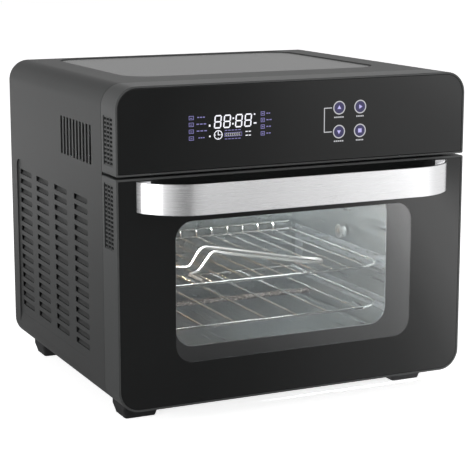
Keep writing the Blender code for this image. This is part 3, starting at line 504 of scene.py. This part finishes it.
def grille(name, side_rows, rides):
    """Upright and level bars across a sunken opening, on both sides of the oven."""
    first, rows = side_rows
    low, high = grille_box(first, rows)
    near, far = GRILLE_DEPTHS
    shape = bmesh.new()
    for side in (-1, 1):
        outer, inner = side * (HALF - 0.5), side * (HALF - 1.7)
        for row in range(rows + 1):
            middle = first - (GRILLE_PITCH - GRILLE_SLOT) / 2 + row * GRILLE_PITCH
            add_prism(shape, "x", outer, inner,
                      rect(near - 0.4, middle - 0.85, far - 1.4, middle + 0.85))
        for column in range(1, GRILLE_COLUMNS):
            middle = near + (far - near) * column / GRILLE_COLUMNS
            add_prism(shape, "x", outer, inner,
                      rect(middle - GRILLE_BAR / 2, low, middle + GRILLE_BAR / 2, high))
    body = mesh_object(name, shape)
    return finish(body, HOUSING, rides, ())


def cut_grille_pockets(pockets, side_rows):
    low, high = grille_box(*side_rows)
    near, far = GRILLE_DEPTHS
    for side in (-1, 1):
        add_prism(pockets, "x", side * (HALF + 1), side * (HALF - 2.5),
                  rounded_rect(near - 0.5, low, far + 0.5, high, 1.0, 3))


def grille_shade_sheets(name, side_rows, rides):
    """A near-black sheet behind the bars: painted shade for the unlit space there."""
    low, high = grille_box(*side_rows)
    near, far = GRILLE_DEPTHS
    shape = bmesh.new()
    for side in (-1, 1):
        add_prism(shape, "x", side * (HALF - 2.1), side * (HALF - 2.45),
                  rounded_rect(near - 0.4, low + 0.1, far + 0.4, high - 0.1, 0.9, 3))
    return finish(mesh_object(name, shape), SLOT_SHADE_SHEET, rides, ())


def control_housing():
    wall = 3.0
    shape = bmesh.new()
    add_prism(shape, "d", 0, STRIP,
              rounded_rect(-HALF, PANEL_BOTTOM, HALF, HEIGHT, (1.5, 1.5, CORNER, CORNER)))
    body = mesh_object("panel_housing", shape)
    cuts = bmesh.new()
    add_prism(cuts, "d", POCKET_DEPTH + LIP, STRIP + 1,
              rounded_rect(-HALF + wall, PANEL_BOTTOM + wall, HALF - wall, HEIGHT - wall,
                           (1.0, 1.0, CORNER - wall, CORNER - wall)))
    add_prism(cuts, "d", -1, POCKET_DEPTH,
              rounded_rect(-HALF + LIP, PANEL_BOTTOM + LIP, HALF - LIP, HEIGHT - LIP,
                           (1.0, 1.0, CORNER - LIP, CORNER - LIP)))
    cut_grille_pockets(cuts, PANEL_GRILLE)
    combine(body, cuts)
    soften(body, 0.4)
    return finish(body, HOUSING, "oven", ["control_housing"])


def control_glass():
    edge = LIP + GAP
    shape = bmesh.new()
    add_prism(shape, "d", GLASS_FRONT, GLASS_REAR,
              rounded_rect(-HALF + edge, PANEL_BOTTOM + edge, HALF - edge, HEIGHT - edge,
                           (1.0, 1.0, CORNER - edge, CORNER - edge)))
    body = mesh_object("panel_glass", shape)
    soften(body, 0.4)
    return finish(body, PRINT, "oven", ["control_glass"])


# ---------------------------------------------------------------- lit graphics

GRAPHIC_D = 0.42
DIGIT_SIZE = (7.6, 12.8)
DIGIT_STROKE = 1.28
DIGIT_SLANT = 0.09
DIGIT_LEFTS = (-90.6, -80.9, -68.6, -58.9)
DIGIT_BASE = 268.4
CLOCK = (-85.9, 262.3)
# Icons beside the figures: height, and where each caption starts and ends
LEFT_ICONS = ((279.8, -107.6, -98.9), (273.4, -108.4, -97.4),
              (266.9, -108.2, -96.6), (260.4, -106.4, -99.5))
RIGHT_ICONS = ((280.4, -35.0, -30.4), (274.1, -35.0, -28.6),
               (267.7, -35.0, -29.4), (261.2, -35.0, -29.6))
WORD_LEFT = -78.2
WORD_PITCH = 2.3
WORD_BARS = 7


def slanted(points, base):
    return [(u + (v - base) * DIGIT_SLANT, v) for u, v in points]


def add_digit(shape, left, base):
    """A seven-segment figure with every segment lit."""
    width, height = DIGIT_SIZE
    t = DIGIT_STROKE
    cut = 0.32
    half = height / 2
    for v in (0, half - t / 2, height - t):
        bar = [(left + t * 0.6, base + v + t / 2), (left + t, base + v), (left + width - t, base + v),
               (left + width - t * 0.6, base + v + t / 2), (left + width - t, base + v + t),
               (left + t, base + v + t)]
        add_flat(shape, GRAPHIC_D, slanted(bar, base))
    for u in (0, width - t):
        for v in (t / 2 + cut, half + cut):
            top = v + half - t / 2 - 2 * cut
            bar = [(left + u, base + v + t / 3), (left + u + t / 2, base + v),
                   (left + u + t, base + v + t / 3), (left + u + t, base + top - t / 3),
                   (left + u + t / 2, base + top), (left + u, base + top - t / 3)]
            add_flat(shape, GRAPHIC_D, slanted(bar, base))


def add_bar(shape, u0, u1, v, height=0.8):
    add_flat(shape, GRAPHIC_D, rect(u0, v - height / 2, u1, v + height / 2))


def add_dashes(shape, u0, u1, v, count, height=0.9):
    pitch = (u1 - u0) / count
    for i in range(count):
        add_bar(shape, u0 + i * pitch, u0 + (i + 0.72) * pitch, v, height)


def add_ring(shape, u, v, outer, inner, sides=40):
    add_prism(shape, "d", GRAPHIC_D, GRAPHIC_D + TILE,
              circle(u, v, outer, sides), [circle(u, v, inner, sides)])


def add_frame(shape, u0, v0, u1, v1, line=0.55):
    for low, high in (((u0, v0), (u1, v0 + line)), ((u0, v1 - line), (u1, v1)),
                      ((u0, v0), (u0 + line, v1)), ((u1 - line, v0), (u1, v1))):
        add_flat(shape, GRAPHIC_D, rect(*low, *high))


def display_white():
    shape = bmesh.new()
    for left in DIGIT_LEFTS:
        add_digit(shape, left, DIGIT_BASE)
    for v in (272.2, 277.4):
        add_flat(shape, GRAPHIC_D, slanted(rect(-71.7, v - 0.8, -70.1, v + 0.8), DIGIT_BASE))
    add_ring(shape, *CLOCK, 4.5, 3.7)
    for i in range(4):
        angle = math.pi * i / 2
        u, v = CLOCK[0] + 3.0 * math.cos(angle), CLOCK[1] + 3.0 * math.sin(angle)
        add_flat(shape, GRAPHIC_D, rect(u - 0.4, v - 0.4, u + 0.4, v + 0.4))
    add_bar(shape, -86.3, -83.9, 262.3, 0.7)
    add_flat(shape, GRAPHIC_D, rect(-86.3, 262.3, -85.6, 265.3))
    for v in (260.3, 264.0):
        add_dashes(shape, -57.2, -50.6, v, 2)
    add_bar(shape, -48.4, -46.9, 280.2, 1.5)
    add_bar(shape, -48.6, -45.6, 271.7, 1.3)
    add_bar(shape, -95.6, -94.0, 271.6, 2.0)
    add_bar(shape, -95.4, -93.8, 261.4, 1.5)
    return finish(mesh_object("display_figures", shape), WHITE_GLOW, "oven")


def display_lilac():
    shape = bmesh.new()
    for v, start, end in LEFT_ICONS:
        add_frame(shape, -116.2, v - 1.9, -111.2, v + 1.9, 0.5)
        add_bar(shape, -114.9, -112.5, v - 0.2, 0.6)
        add_dashes(shape, start, end, v + 0.2, 3, 1.0)
    for v, start, end in RIGHT_ICONS:
        add_frame(shape, -41.0, v - 2.0, -36.8, v + 2.0, 0.55)
        add_bar(shape, -39.7, -38.1, v, 1.0)
        add_dashes(shape, start, end, v, 2, 1.0)
    add_frame(shape, -79.4, 260.2, -61.0, 264.0, 0.4)
    add_dashes(shape, -79.0, -61.4, 266.2, 5, 0.7)
    add_dashes(shape, -79.0, -61.4, 258.0, 5, 0.7)
    body = finish(mesh_object("display_icons", shape), LILAC_GLOW, "oven")
    words = bmesh.new()
    for i in range(WORD_BARS):
        u = WORD_LEFT + i * WORD_PITCH
        for bar in (rect(u, 260.9, u + 1.5, 261.4), rect(u, 262.8, u + 1.5, 263.3),
                    rect(u, 261.4, u + 0.5, 262.8)):
            add_flat(words, GRAPHIC_D - TILE, bar)
    finish(mesh_object("display_word_bars", words), DIM_GLOW, "oven")
    return body


KEYS = ((44.8, 281.8, "up"), (68.4, 281.8, "right"),
        (44.7, 258.2, "down"), (68.3, 258.1, "square"))
KEY_OUTER = 6.7
KEY_INNER = 5.65


def key_symbol(kind, u, v):
    size = 2.5
    if kind == "square":
        return rect(u - 2.0, v - 2.0, u + 2.0, v + 2.0)
    turn = {"up": math.pi / 2, "right": 0.0, "down": -math.pi / 2}[kind]
    return [(u + size * math.cos(turn + a), v + size * math.sin(turn + a))
            for a in (0, 2 * math.pi / 3, -2 * math.pi / 3)]


def touch_keys():
    rings, fills, symbols = bmesh.new(), bmesh.new(), bmesh.new()
    for u, v, kind in KEYS:
        add_ring(rings, u, v, KEY_OUTER, KEY_INNER)
        add_flat(fills, GRAPHIC_D + 0.01, circle(u, v, KEY_INNER + 0.1, 40))
        add_flat(symbols, GRAPHIC_D - TILE, key_symbol(kind, u, v))
        width = 5.6 if u < 50 else 4.4
        add_dashes(rings, u - width, u + width, v - 9.3, 5, 1.3)
    for v in (282.0, 258.4):
        add_bar(rings, 28.2, 36.6, v, 0.9)
    add_flat(rings, GRAPHIC_D, rect(27.8, 257.95, 28.7, 282.45))
    finish(mesh_object("key_rings", rings), DIM_GLOW, "oven")
    finish(mesh_object("key_wells", fills), VIOLET_GLOW, "oven")
    finish(mesh_object("key_symbols", symbols), KEY_GLOW, "oven")


# ---------------------------------------------------------------- door

def door_frame():
    shape = bmesh.new()
    add_prism(shape, "d", 0, STRIP,
              rounded_rect(-HALF, 0, HALF, DOOR_TOP, (CORNER, CORNER, 1.5, 1.5)))
    body = mesh_object("door_rim", shape)
    low_corner, high_corner = DOOR_SPACE_CORNERS
    hollow = bmesh.new()
    add_prism(hollow, "d", -1, STRIP + 1,
              rounded_rect(-HALF + DOOR_WALL, DOOR_SPACE[0], HALF - DOOR_WALL, DOOR_SPACE[1],
                           (low_corner, low_corner, high_corner, high_corner)))
    combine(body, hollow)
    pocket = bmesh.new()
    add_prism(pocket, "d", -1, POCKET_DEPTH,
              rounded_rect(-HALF + LIP, LIP, HALF - LIP, DOOR_TOP - LIP,
                           (CORNER - LIP, CORNER - LIP, 1.0, 1.0)))
    combine(body, pocket)
    heel = bmesh.new()
    add_prism(heel, "x", -HALF - 1, HALF + 1,
              [*arc((PIVOT_D, PIVOT_H), STRIP - PIVOT_D, 0, -math.radians(60), 12),
               (STRIP + 1, -2), (STRIP + 1, PIVOT_H)])
    combine(body, heel)
    openings = bmesh.new()
    cut_grille_pockets(openings, DOOR_GRILLE)
    for side in (-1, 1):
        near, far = sorted((side * (HINGE_X + NOTCH[0]), side * (HINGE_X + NOTCH[1])))
        add_box(openings, (near, 18, -1), (far, STRIP + 1, 10))
    combine(body, openings)
    soften(body, 0.4)
    return finish(body, HOUSING, "door", ["door_frame"])


def door_glass():
    """The outer pane: an opaque printed border, and a clear window let into it."""
    edge = LIP + GAP
    outline = rounded_rect(-HALF + edge, edge, HALF - edge, DOOR_TOP - edge,
                           (CORNER - edge, CORNER - edge, 1.0, 1.0))
    screw_h = (HANDLE_LOW + HANDLE_HIGH) / 2
    holes = [circle(side * SCREW_X, screw_h, SCREW_HOLE, 20) for side in (-1, 1)]
    border = bmesh.new()
    add_prism(border, "d", GLASS_FRONT, GLASS_REAR, outline,
              [*holes, rounded_rect(*WINDOW, WINDOW_CORNER)])
    printed = mesh_object("door_glass_border", border)
    behind = bmesh.new()
    u0, v0, u1, v1 = WINDOW
    add_prism(behind, "d", GLASS_FRONT + PRINT_DEPTH, GLASS_REAR + 1,
              rounded_rect(u0 - 3, v0 - 3, u1 + 3, v1 + 3, WINDOW_CORNER + 3))
    combine(printed, behind)
    soften(printed, 0.35, 2, 60)
    finish(printed, PRINT, "door", ["door_glass_outer"])
    lap = 0.45
    clear = bmesh.new()
    add_prism(clear, "d", GLASS_FRONT - 0.03, GLASS_FRONT + 0.5,
              rounded_rect(u0 - lap, v0 - lap, u1 + lap, v1 + lap, WINDOW_CORNER + lap))
    finish(mesh_object("door_glass_window", clear), PANE, "door", ())


def door_pan():
    shape = bmesh.new()
    edge = DOOR_WALL + GAP
    low_corner, high_corner = (radius - GAP for radius in DOOR_SPACE_CORNERS)
    add_prism(shape, "d", PAN_REAR, PAN_REAR + SHEET,
              rounded_rect(-HALF + edge, DOOR_SPACE[0] + GAP, HALF - edge, DOOR_SPACE[1] - GAP,
                           (low_corner, low_corner, high_corner, high_corner)))
    body = mesh_object("door_pan", shape)
    pan = bmesh.new()
    add_prism(pan, "d", PAN_FRONT, PAN_REAR + 0.5, rounded_rect(*PAN, PAN_CORNER))
    combine(body, pan, "UNION")
    hollow = bmesh.new()
    u0, v0, u1, v1 = PAN
    add_prism(hollow, "d", PAN_FRONT + SHEET, PAN_REAR + 2,
              rounded_rect(u0 + 1, v0 + 1, u1 - 1, v1 - 1, PAN_CORNER - 1))
    for side in (-1, 1):
        near, far = sorted((side * (HINGE_X + NOTCH[0]), side * (HINGE_X + NOTCH[1])))
        add_box(hollow, (near, PAN_REAR - 1, 8), (far, PAN_REAR + 2, 21))
    combine(body, hollow)
    opening = bmesh.new()
    add_prism(opening, "d", PAN_FRONT - 1, PAN_FRONT + 2, rounded_rect(*OPENING, OPENING_CORNER))
    combine(body, opening)
    soften(body, 0.4)
    return finish(body, PAN_STEEL, "door", ["door_inner_panel"])


def window_trim():
    """The polished edge of the viewing opening."""
    u0, v0, u1, v1 = OPENING
    shape = bmesh.new()
    add_prism(shape, "d", PAN_FRONT - 0.35, PAN_FRONT + 0.5,
              rounded_rect(u0 - 0.6, v0 - 0.6, u1 + 0.6, v1 + 0.6, OPENING_CORNER + 0.6),
              [rounded_rect(u0 + 0.1, v0 + 0.1, u1 - 0.1, v1 - 0.1, OPENING_CORNER - 0.1)])
    return finish(mesh_object("window_trim", shape), STEEL, "door", ())


def handle_half(radius, end_depth):
    centre = (HANDLE_FLAT, HANDLE_BEND - HANDLE_REACH)
    turn = math.acos((centre[1] - end_depth) / radius)
    return arc(centre, radius, -math.pi / 2, -math.pi / 2 + turn, 32)


def door_handle():
    rear = GLASS_FRONT - GAP
    outer = handle_half(HANDLE_BEND, rear)
    inner = handle_half(HANDLE_BEND - HANDLE_SHEET, rear - HANDLE_SHEET)
    right = outer + [(HANDLE_TAB, rear), (HANDLE_TAB, rear - HANDLE_SHEET)] + inner[::-1]
    left = [(-x, d) for x, d in right[::-1]]
    shape = bmesh.new()
    add_prism(shape, "h", HANDLE_LOW, HANDLE_HIGH, right + left)
    body = mesh_object("handle_band", shape)
    soften(body, 0.45, 3, 50)
    return finish(body, BRUSHED, "door", ["door_handle"])


# ---------------------------------------------------------------- racks

def rack(name, node, level, rear, wire_places, stop):
    """A round-cornered border of round bar, straight wires, and a raised rear bar if it has a stop.

    The node and the body it rides on have the same name."""
    middle = level + GAP + 1.6
    bar, thin = 1.6, 1.25
    corner = RACK_CORNER - bar
    border = rounded_rect(-RACK_HALF + bar, RACK_FRONT + bar, RACK_HALF - bar, rear - bar,
                          (corner, corner, 3.0, 3.0), 16)
    routes = [(bar, [(u, v, middle) for u, v in border + border[:1]])]
    for x in wire_places:
        beyond = max(0.0, abs(x) - (RACK_HALF - RACK_CORNER))
        front = RACK_FRONT + RACK_CORNER - math.sqrt((RACK_CORNER - bar) ** 2 - beyond ** 2)
        route = [(x, front, middle + 0.3), (x, rear - 9, middle + 0.3)]
        if stop:
            route += [(x, rear - 5.5, middle + 1.0), (x, rear - 3.4, middle + 3.0),
                      (x, rear - 2.4, middle + stop - 2)]
        else:
            route.append((x, rear - bar, middle + 0.3))
        routes.append((thin, route))
    if stop:
        top = middle + stop - 2.6
        routes.append((1.4, [(-RACK_HALF + 4.5, rear - 1.9, top), (RACK_HALF - 4.5, rear - 1.9, top)]))
    return wire(name, routes, CHROME, node, [node])


# ---------------------------------------------------------------- the frame's own nodes

KEPT = {
    COATED: ("base_pan", "rear_panel"),
    LINER: ("cavity_liner", "front_frame", "heater_guard", "crumb_tray"),
    STEEL: ("rack_guide_left", "rack_guide_right", "convection_chamber", "motor_bracket", "fan_shaft"),
    TOOL_STEEL: ("fetch_tool",),
    CHROME: ("rotisserie_socket", "rotisserie_hanger", "temperature_probe", "hinge_pin_left",
             "hinge_pin_right"),
    HEATER: ("lower_heater_front", "lower_heater_rear", "upper_heater"),
    DARK_STEEL: ("fan_motor", "rotisserie_motor", "handle_screw_left", "handle_screw_right",
                 "hinge_arm_left", "hinge_arm_right", "hinge_bracket_left", "hinge_bracket_right",
                 "rear_screw_1", "rear_screw_2", "rear_screw_3", "rear_screw_4"),
    ALUMINIUM: ("convection_fan", "cooling_fan", "lamp_holder"),
    RUBBER: ("cord_gland", "foot_front_left", "foot_front_right", "foot_rear_left",
             "foot_rear_right"),
    SILICONE: ("door_gasket",),
    BLACK_PLASTIC: ("display_module", "door_switch", "switch_plunger", "thermal_cutout"),
    BOARD: ("touch_board", "power_board"),
    INNER_PANE: ("door_glass_inner",),
    LAMP_GLASS: ("lamp_bulb",),
    LAMP_COVER: ("lamp_cover",),
}
# The width of the rounding on their edges
SOFTENED = {"base_pan": 0.2, "rear_panel": 0.2, "crumb_tray": 0.2, "rack_guide_left": 0.2,
            "rack_guide_right": 0.2, "foot_front_left": 0.5, "foot_front_right": 0.5,
            "foot_rear_left": 0.5, "foot_rear_right": 0.5, "door_gasket": 0.8, "power_board": 0.2,
            "fan_motor": 0.8, "rotisserie_motor": 0.8, "cord_gland": 0.3, "hinge_arm_left": 0.2,
            "hinge_arm_right": 0.2, "hinge_bracket_left": 0.2, "hinge_bracket_right": 0.2}


def dress_kept_nodes():
    for material, names in KEPT.items():
        for name in names:
            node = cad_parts[name]
            node.data.materials.clear()
            node.data.materials.append(material)
            if name in SOFTENED:
                soften(node, SOFTENED[name])
            else:
                node.data.shade_smooth()
                node.data.set_sharp_from_angle(angle=math.radians(30))


# ---------------------------------------------------------------- studio

# Brightness by the sine of elevation, from the horizon up
HORIZON = ((0.0, 0.9), (0.12, 1.0), (0.3, 0.95), (0.45, 0.3), (0.7, 0.15), (1.0, 0.3))
# Brightness by direction in degrees from straight ahead of the oven, positive to its right
ROUND_ABOUT = ((-180, 0.6), (-112, 0.6), (-98, 2.1), (-68, 2.1), (-57, 1.95), (-47, 1.4),
               (-37, 0.75), (-27, 0.3), (-17, 0.12), (-6, 0.22), (2, 1.5), (24, 2.1), (40, 1.75),
               (73, 1.15), (93, 1.1), (112, 0.6), (180, 0.6))
# The floor's brightness as reflections see it, fitted. Each stop is a place, in metres of x
# plus the share of y in POOL_DIRECTION, and the brightness there: near the oven, and further off.
POOL_DIRECTION = (1.0, 0.472, 0.0)
POOL_RANGE = (-1.8, 0.6)
POOL_NEAR = ((-1.8, 1.0), (-1.5, 1.0), (-1.25, 0.2), (-0.18, 0.17), (-0.12, 0.22), (-0.06, 0.32),
             (0.0, 0.46), (0.07, 0.63), (0.122, 1.0), (0.15, 1.4), (0.2, 2.0), (0.26, 2.2),
             (0.34, 1.5), (0.6, 0.9))
POOL_FAR = ((-1.8, 1.4), (-1.5, 1.4), (-1.25, 0.2), (-0.36, 0.17), (-0.09, 0.38), (0.13, 0.66),
            (0.31, 0.83), (0.42, 0.95), (0.6, 1.25))
# Where the far floor turns into the near one, in metres of y
POOL_TURN = (-1.6, -1.15)
POOL_PEAK = 2.5
FLOOR_LIFT = 0.8
FLOOR_HALF = 8.0

LENS = 117.9
CAMERA_SHIFT = (-0.00285, -0.0365)
CAMERA_PLACE = (-0.6888, -1.46105, 0.47335)
CAMERA_AIM = (0.4197, 0.8887, -0.1846)


def area_light(name, location, target, size, power, colour=(1, 1, 1), hidden=True):
    data = bpy.data.lights.new(name, "AREA")
    data.shape = "RECTANGLE"
    data.size, data.size_y = size
    data.energy = power
    data.color = colour
    light = bpy.data.objects.new(name, data)
    light.location = location
    light.rotation_euler = (Vector(target) - Vector(location)).to_track_quat("-Z", "Y").to_euler()
    light.visible_camera = not hidden
    bpy.context.collection.objects.link(light)
    return light


def point_light(name, location, radius, power, colour):
    data = bpy.data.lights.new(name, "POINT")
    data.energy = power
    data.shadow_soft_size = radius
    data.color = colour
    light = bpy.data.objects.new(name, data)
    light.location = location
    light.visible_camera = False
    bpy.context.collection.objects.link(light)
    return light


def shade_steps(nodes, stops, span, peak):
    """A ramp of greys over a span of places, as fractions of the brightest that it may reach."""
    ramp = nodes.new("ShaderNodeValToRGB")
    elements = ramp.color_ramp.elements
    while len(elements) < len(stops):
        elements.new(0.5)
    for element, (place_on, value) in zip(elements, stops):
        element.position = (place_on - span[0]) / (span[1] - span[0])
        element.color = (value / peak, value / peak, value / peak, 1)
    return ramp


def arithmetic(tree, operation, *values):
    """A Math node whose inputs are numbers or sockets; gives back its result."""
    node = tree.nodes.new("ShaderNodeMath")
    node.operation = operation
    for socket, value in zip(node.inputs, values):
        if isinstance(value, (int, float)):
            socket.default_value = value
        else:
            tree.links.new(value, socket)
    return node.outputs["Value"]


def colour_mix(tree, choice, first, second):
    node = tree.nodes.new("ShaderNodeMix")
    node.data_type = "RGBA"
    colours = [socket for socket in node.inputs if socket.type == "RGBA"]
    tree.links.new(choice, node.inputs[0])
    for socket, value in zip(colours, (first, second)):
        if isinstance(value, tuple):
            socket.default_value = value
        else:
            tree.links.new(value, socket)
    return [socket for socket in node.outputs if socket.type == "RGBA"][0]


def studio_world():
    """White to the camera. Elsewhere a bright low horizon, with a dark gap in front of the oven."""
    world = bpy.data.worlds.new("studio")
    bpy.context.scene.world = world
    world.use_nodes = True
    tree = world.node_tree
    coordinates = tree.nodes.new("ShaderNodeTexCoord")
    parts = tree.nodes.new("ShaderNodeSeparateXYZ")
    tree.links.new(coordinates.outputs["Generated"], parts.inputs["Vector"])
    elevation = shade_steps(tree.nodes, HORIZON, (0, 1), 1)
    tree.links.new(parts.outputs["Z"], elevation.inputs["Fac"])
    ahead = arithmetic(tree, "MULTIPLY", parts.outputs["Y"], -1)
    turn = arithmetic(tree, "ARCTAN2", parts.outputs["X"], ahead)
    share = arithmetic(tree, "MULTIPLY_ADD", turn, 1 / (2 * math.pi), 0.5)
    around = shade_steps(tree.nodes, ROUND_ABOUT, (-180, 180), POOL_PEAK)
    tree.links.new(share, around.inputs["Fac"])
    both = arithmetic(tree, "MULTIPLY", elevation.outputs["Color"], around.outputs["Color"])
    brightness = arithmetic(tree, "MULTIPLY", both, POOL_PEAK)
    path = tree.nodes.new("ShaderNodeLightPath")
    result = colour_mix(tree, path.outputs["Is Camera Ray"], brightness, (1.0, 1.0, 1.0, 1.0))
    tree.links.new(result, tree.nodes["Background"].inputs["Color"])


def floor_glow(tree):
    """The floor's light in reflections: a pool at the right that fades to the left."""
    coordinates = tree.nodes.new("ShaderNodeTexCoord")
    along = tree.nodes.new("ShaderNodeVectorMath")
    along.operation = "DOT_PRODUCT"
    along.inputs[1].default_value = POOL_DIRECTION
    tree.links.new(coordinates.outputs["Object"], along.inputs[0])
    span = POOL_RANGE[1] - POOL_RANGE[0]
    share = arithmetic(tree, "MULTIPLY_ADD", along.outputs["Value"], 1 / span, -POOL_RANGE[0] / span)
    near = shade_steps(tree.nodes, POOL_NEAR, POOL_RANGE, POOL_PEAK)
    far = shade_steps(tree.nodes, POOL_FAR, POOL_RANGE, POOL_PEAK)
    for ramp in (near, far):
        tree.links.new(share, ramp.inputs["Fac"])
    parts = tree.nodes.new("ShaderNodeSeparateXYZ")
    tree.links.new(coordinates.outputs["Object"], parts.inputs["Vector"])
    distance = tree.nodes.new("ShaderNodeMapRange")
    distance.inputs["From Min"].default_value = POOL_TURN[0]
    distance.inputs["From Max"].default_value = POOL_TURN[1]
    tree.links.new(parts.outputs["Y"], distance.inputs["Value"])
    pool = tree.nodes.new("ShaderNodeEmission")
    pool.inputs["Strength"].default_value = POOL_PEAK
    mixed = colour_mix(tree, distance.outputs["Result"], far.outputs["Color"], near.outputs["Color"])
    tree.links.new(mixed, pool.inputs["Color"])
    return pool.outputs["Emission"]


def floor_material():
    """Pale paint, lifted to white for the camera, and a pool of light in reflections."""
    material = surface("floor_paint", (0.88, 0.88, 0.88), 0.8, 0.0, (30, 30, 30), 0.01, 0.02, 0.0)
    tree = material.node_tree
    shader = tree.nodes["Principled BSDF"]
    shader.inputs["Specular IOR Level"].default_value = 0.0
    path = tree.nodes.new("ShaderNodeLightPath")
    lift = tree.nodes.new("ShaderNodeEmission")
    lift.inputs["Strength"].default_value = FLOOR_LIFT
    tree.links.new(path.outputs["Is Camera Ray"], lift.inputs["Color"])
    lifted = tree.nodes.new("ShaderNodeAddShader")
    tree.links.new(shader.outputs["BSDF"], lifted.inputs[0])
    tree.links.new(lift.outputs["Emission"], lifted.inputs[1])
    choice = tree.nodes.new("ShaderNodeMixShader")
    tree.links.new(path.outputs["Is Glossy Ray"], choice.inputs["Fac"])
    tree.links.new(lifted.outputs["Shader"], choice.inputs[1])
    tree.links.new(floor_glow(tree), choice.inputs[2])
    tree.links.new(choice.outputs["Shader"], tree.nodes["Material Output"].inputs["Surface"])
    return material


def studio_floor():
    mesh = bpy.data.meshes.new("floor")
    corners = rect(-FLOOR_HALF, -FLOOR_HALF, FLOOR_HALF, FLOOR_HALF)
    mesh.from_pydata([(x, y, 0) for x, y in corners], [], [(0, 1, 2, 3)])
    floor = bpy.data.objects.new("floor", mesh)
    bpy.context.collection.objects.link(floor)
    mesh.materials.append(floor_material())


def add_camera():
    data = bpy.data.cameras.new("camera")
    data.sensor_width = 36.0
    data.lens = LENS
    data.shift_x, data.shift_y = CAMERA_SHIFT
    camera = bpy.data.objects.new("camera", data)
    camera.location = CAMERA_PLACE
    camera.rotation_euler = Vector(CAMERA_AIM).to_track_quat("-Z", "Y").to_euler()
    bpy.context.collection.objects.link(camera)
    bpy.context.scene.camera = camera


def light_the_studio():
    bpy.context.scene.view_settings.view_transform = "Standard"
    area_light("key_left", (-1.7, -0.3, 0.35), (0, 0, 0.12), (1.4, 0.6), 11)
    area_light("overhead", (0.6, 0.7, 1.8), (0, 0, 0.2), (1.6, 1.6), 10)
    fill = area_light("front_fill", (0.9, -1.7, 0.9), (0, 0, 0.15), (1.4, 1.4), 5)
    fill.visible_glossy = False
    wash = area_light("cavity_left", place(-118, 58, 194), place(149, 130, 100), (0.04, 0.04), 4.2,
                      (0.9, 0.97, 1.0))
    wash.data.spread = math.radians(95)
    area_light("cavity_top", place(20, 60, 198), place(60, 170, 60), (0.2, 0.02), 0.27,
               (0.93, 0.98, 1.0))
    point_light("oven_lamp", place(-126, LAMP[0], LAMP[1]), 0.006, 0.4, (1.0, 0.7, 0.42))
    point_light("lamp_spill", place(-90, 250, 192), 0.004, 0.16, (1.0, 0.62, 0.34))


def build():
    add_camera()
    studio_world()
    light_the_studio()
    studio_floor()
    cabinet()
    top_field()
    louvre_scoops()
    control_housing()
    control_glass()
    grille("panel_grille", PANEL_GRILLE, "oven")
    grille_shade_sheets("panel_grille_shade", PANEL_GRILLE, "oven")
    display_white()
    display_lilac()
    touch_keys()
    door_frame()
    grille("door_grille", DOOR_GRILLE, "door")
    grille_shade_sheets("door_grille_shade", DOOR_GRILLE, "door")
    door_glass()
    door_pan()
    window_trim()
    door_handle()
    rack("upper_rack_wires", "upper_rack", UPPER_LEVEL, UPPER_REAR, UPPER_WIRES, UPPER_STOP)
    rack("lower_rack_wires", "lower_rack", LOWER_LEVEL, LOWER_REAR, LOWER_WIRES, 0.0)
    dress_kept_nodes()


build()
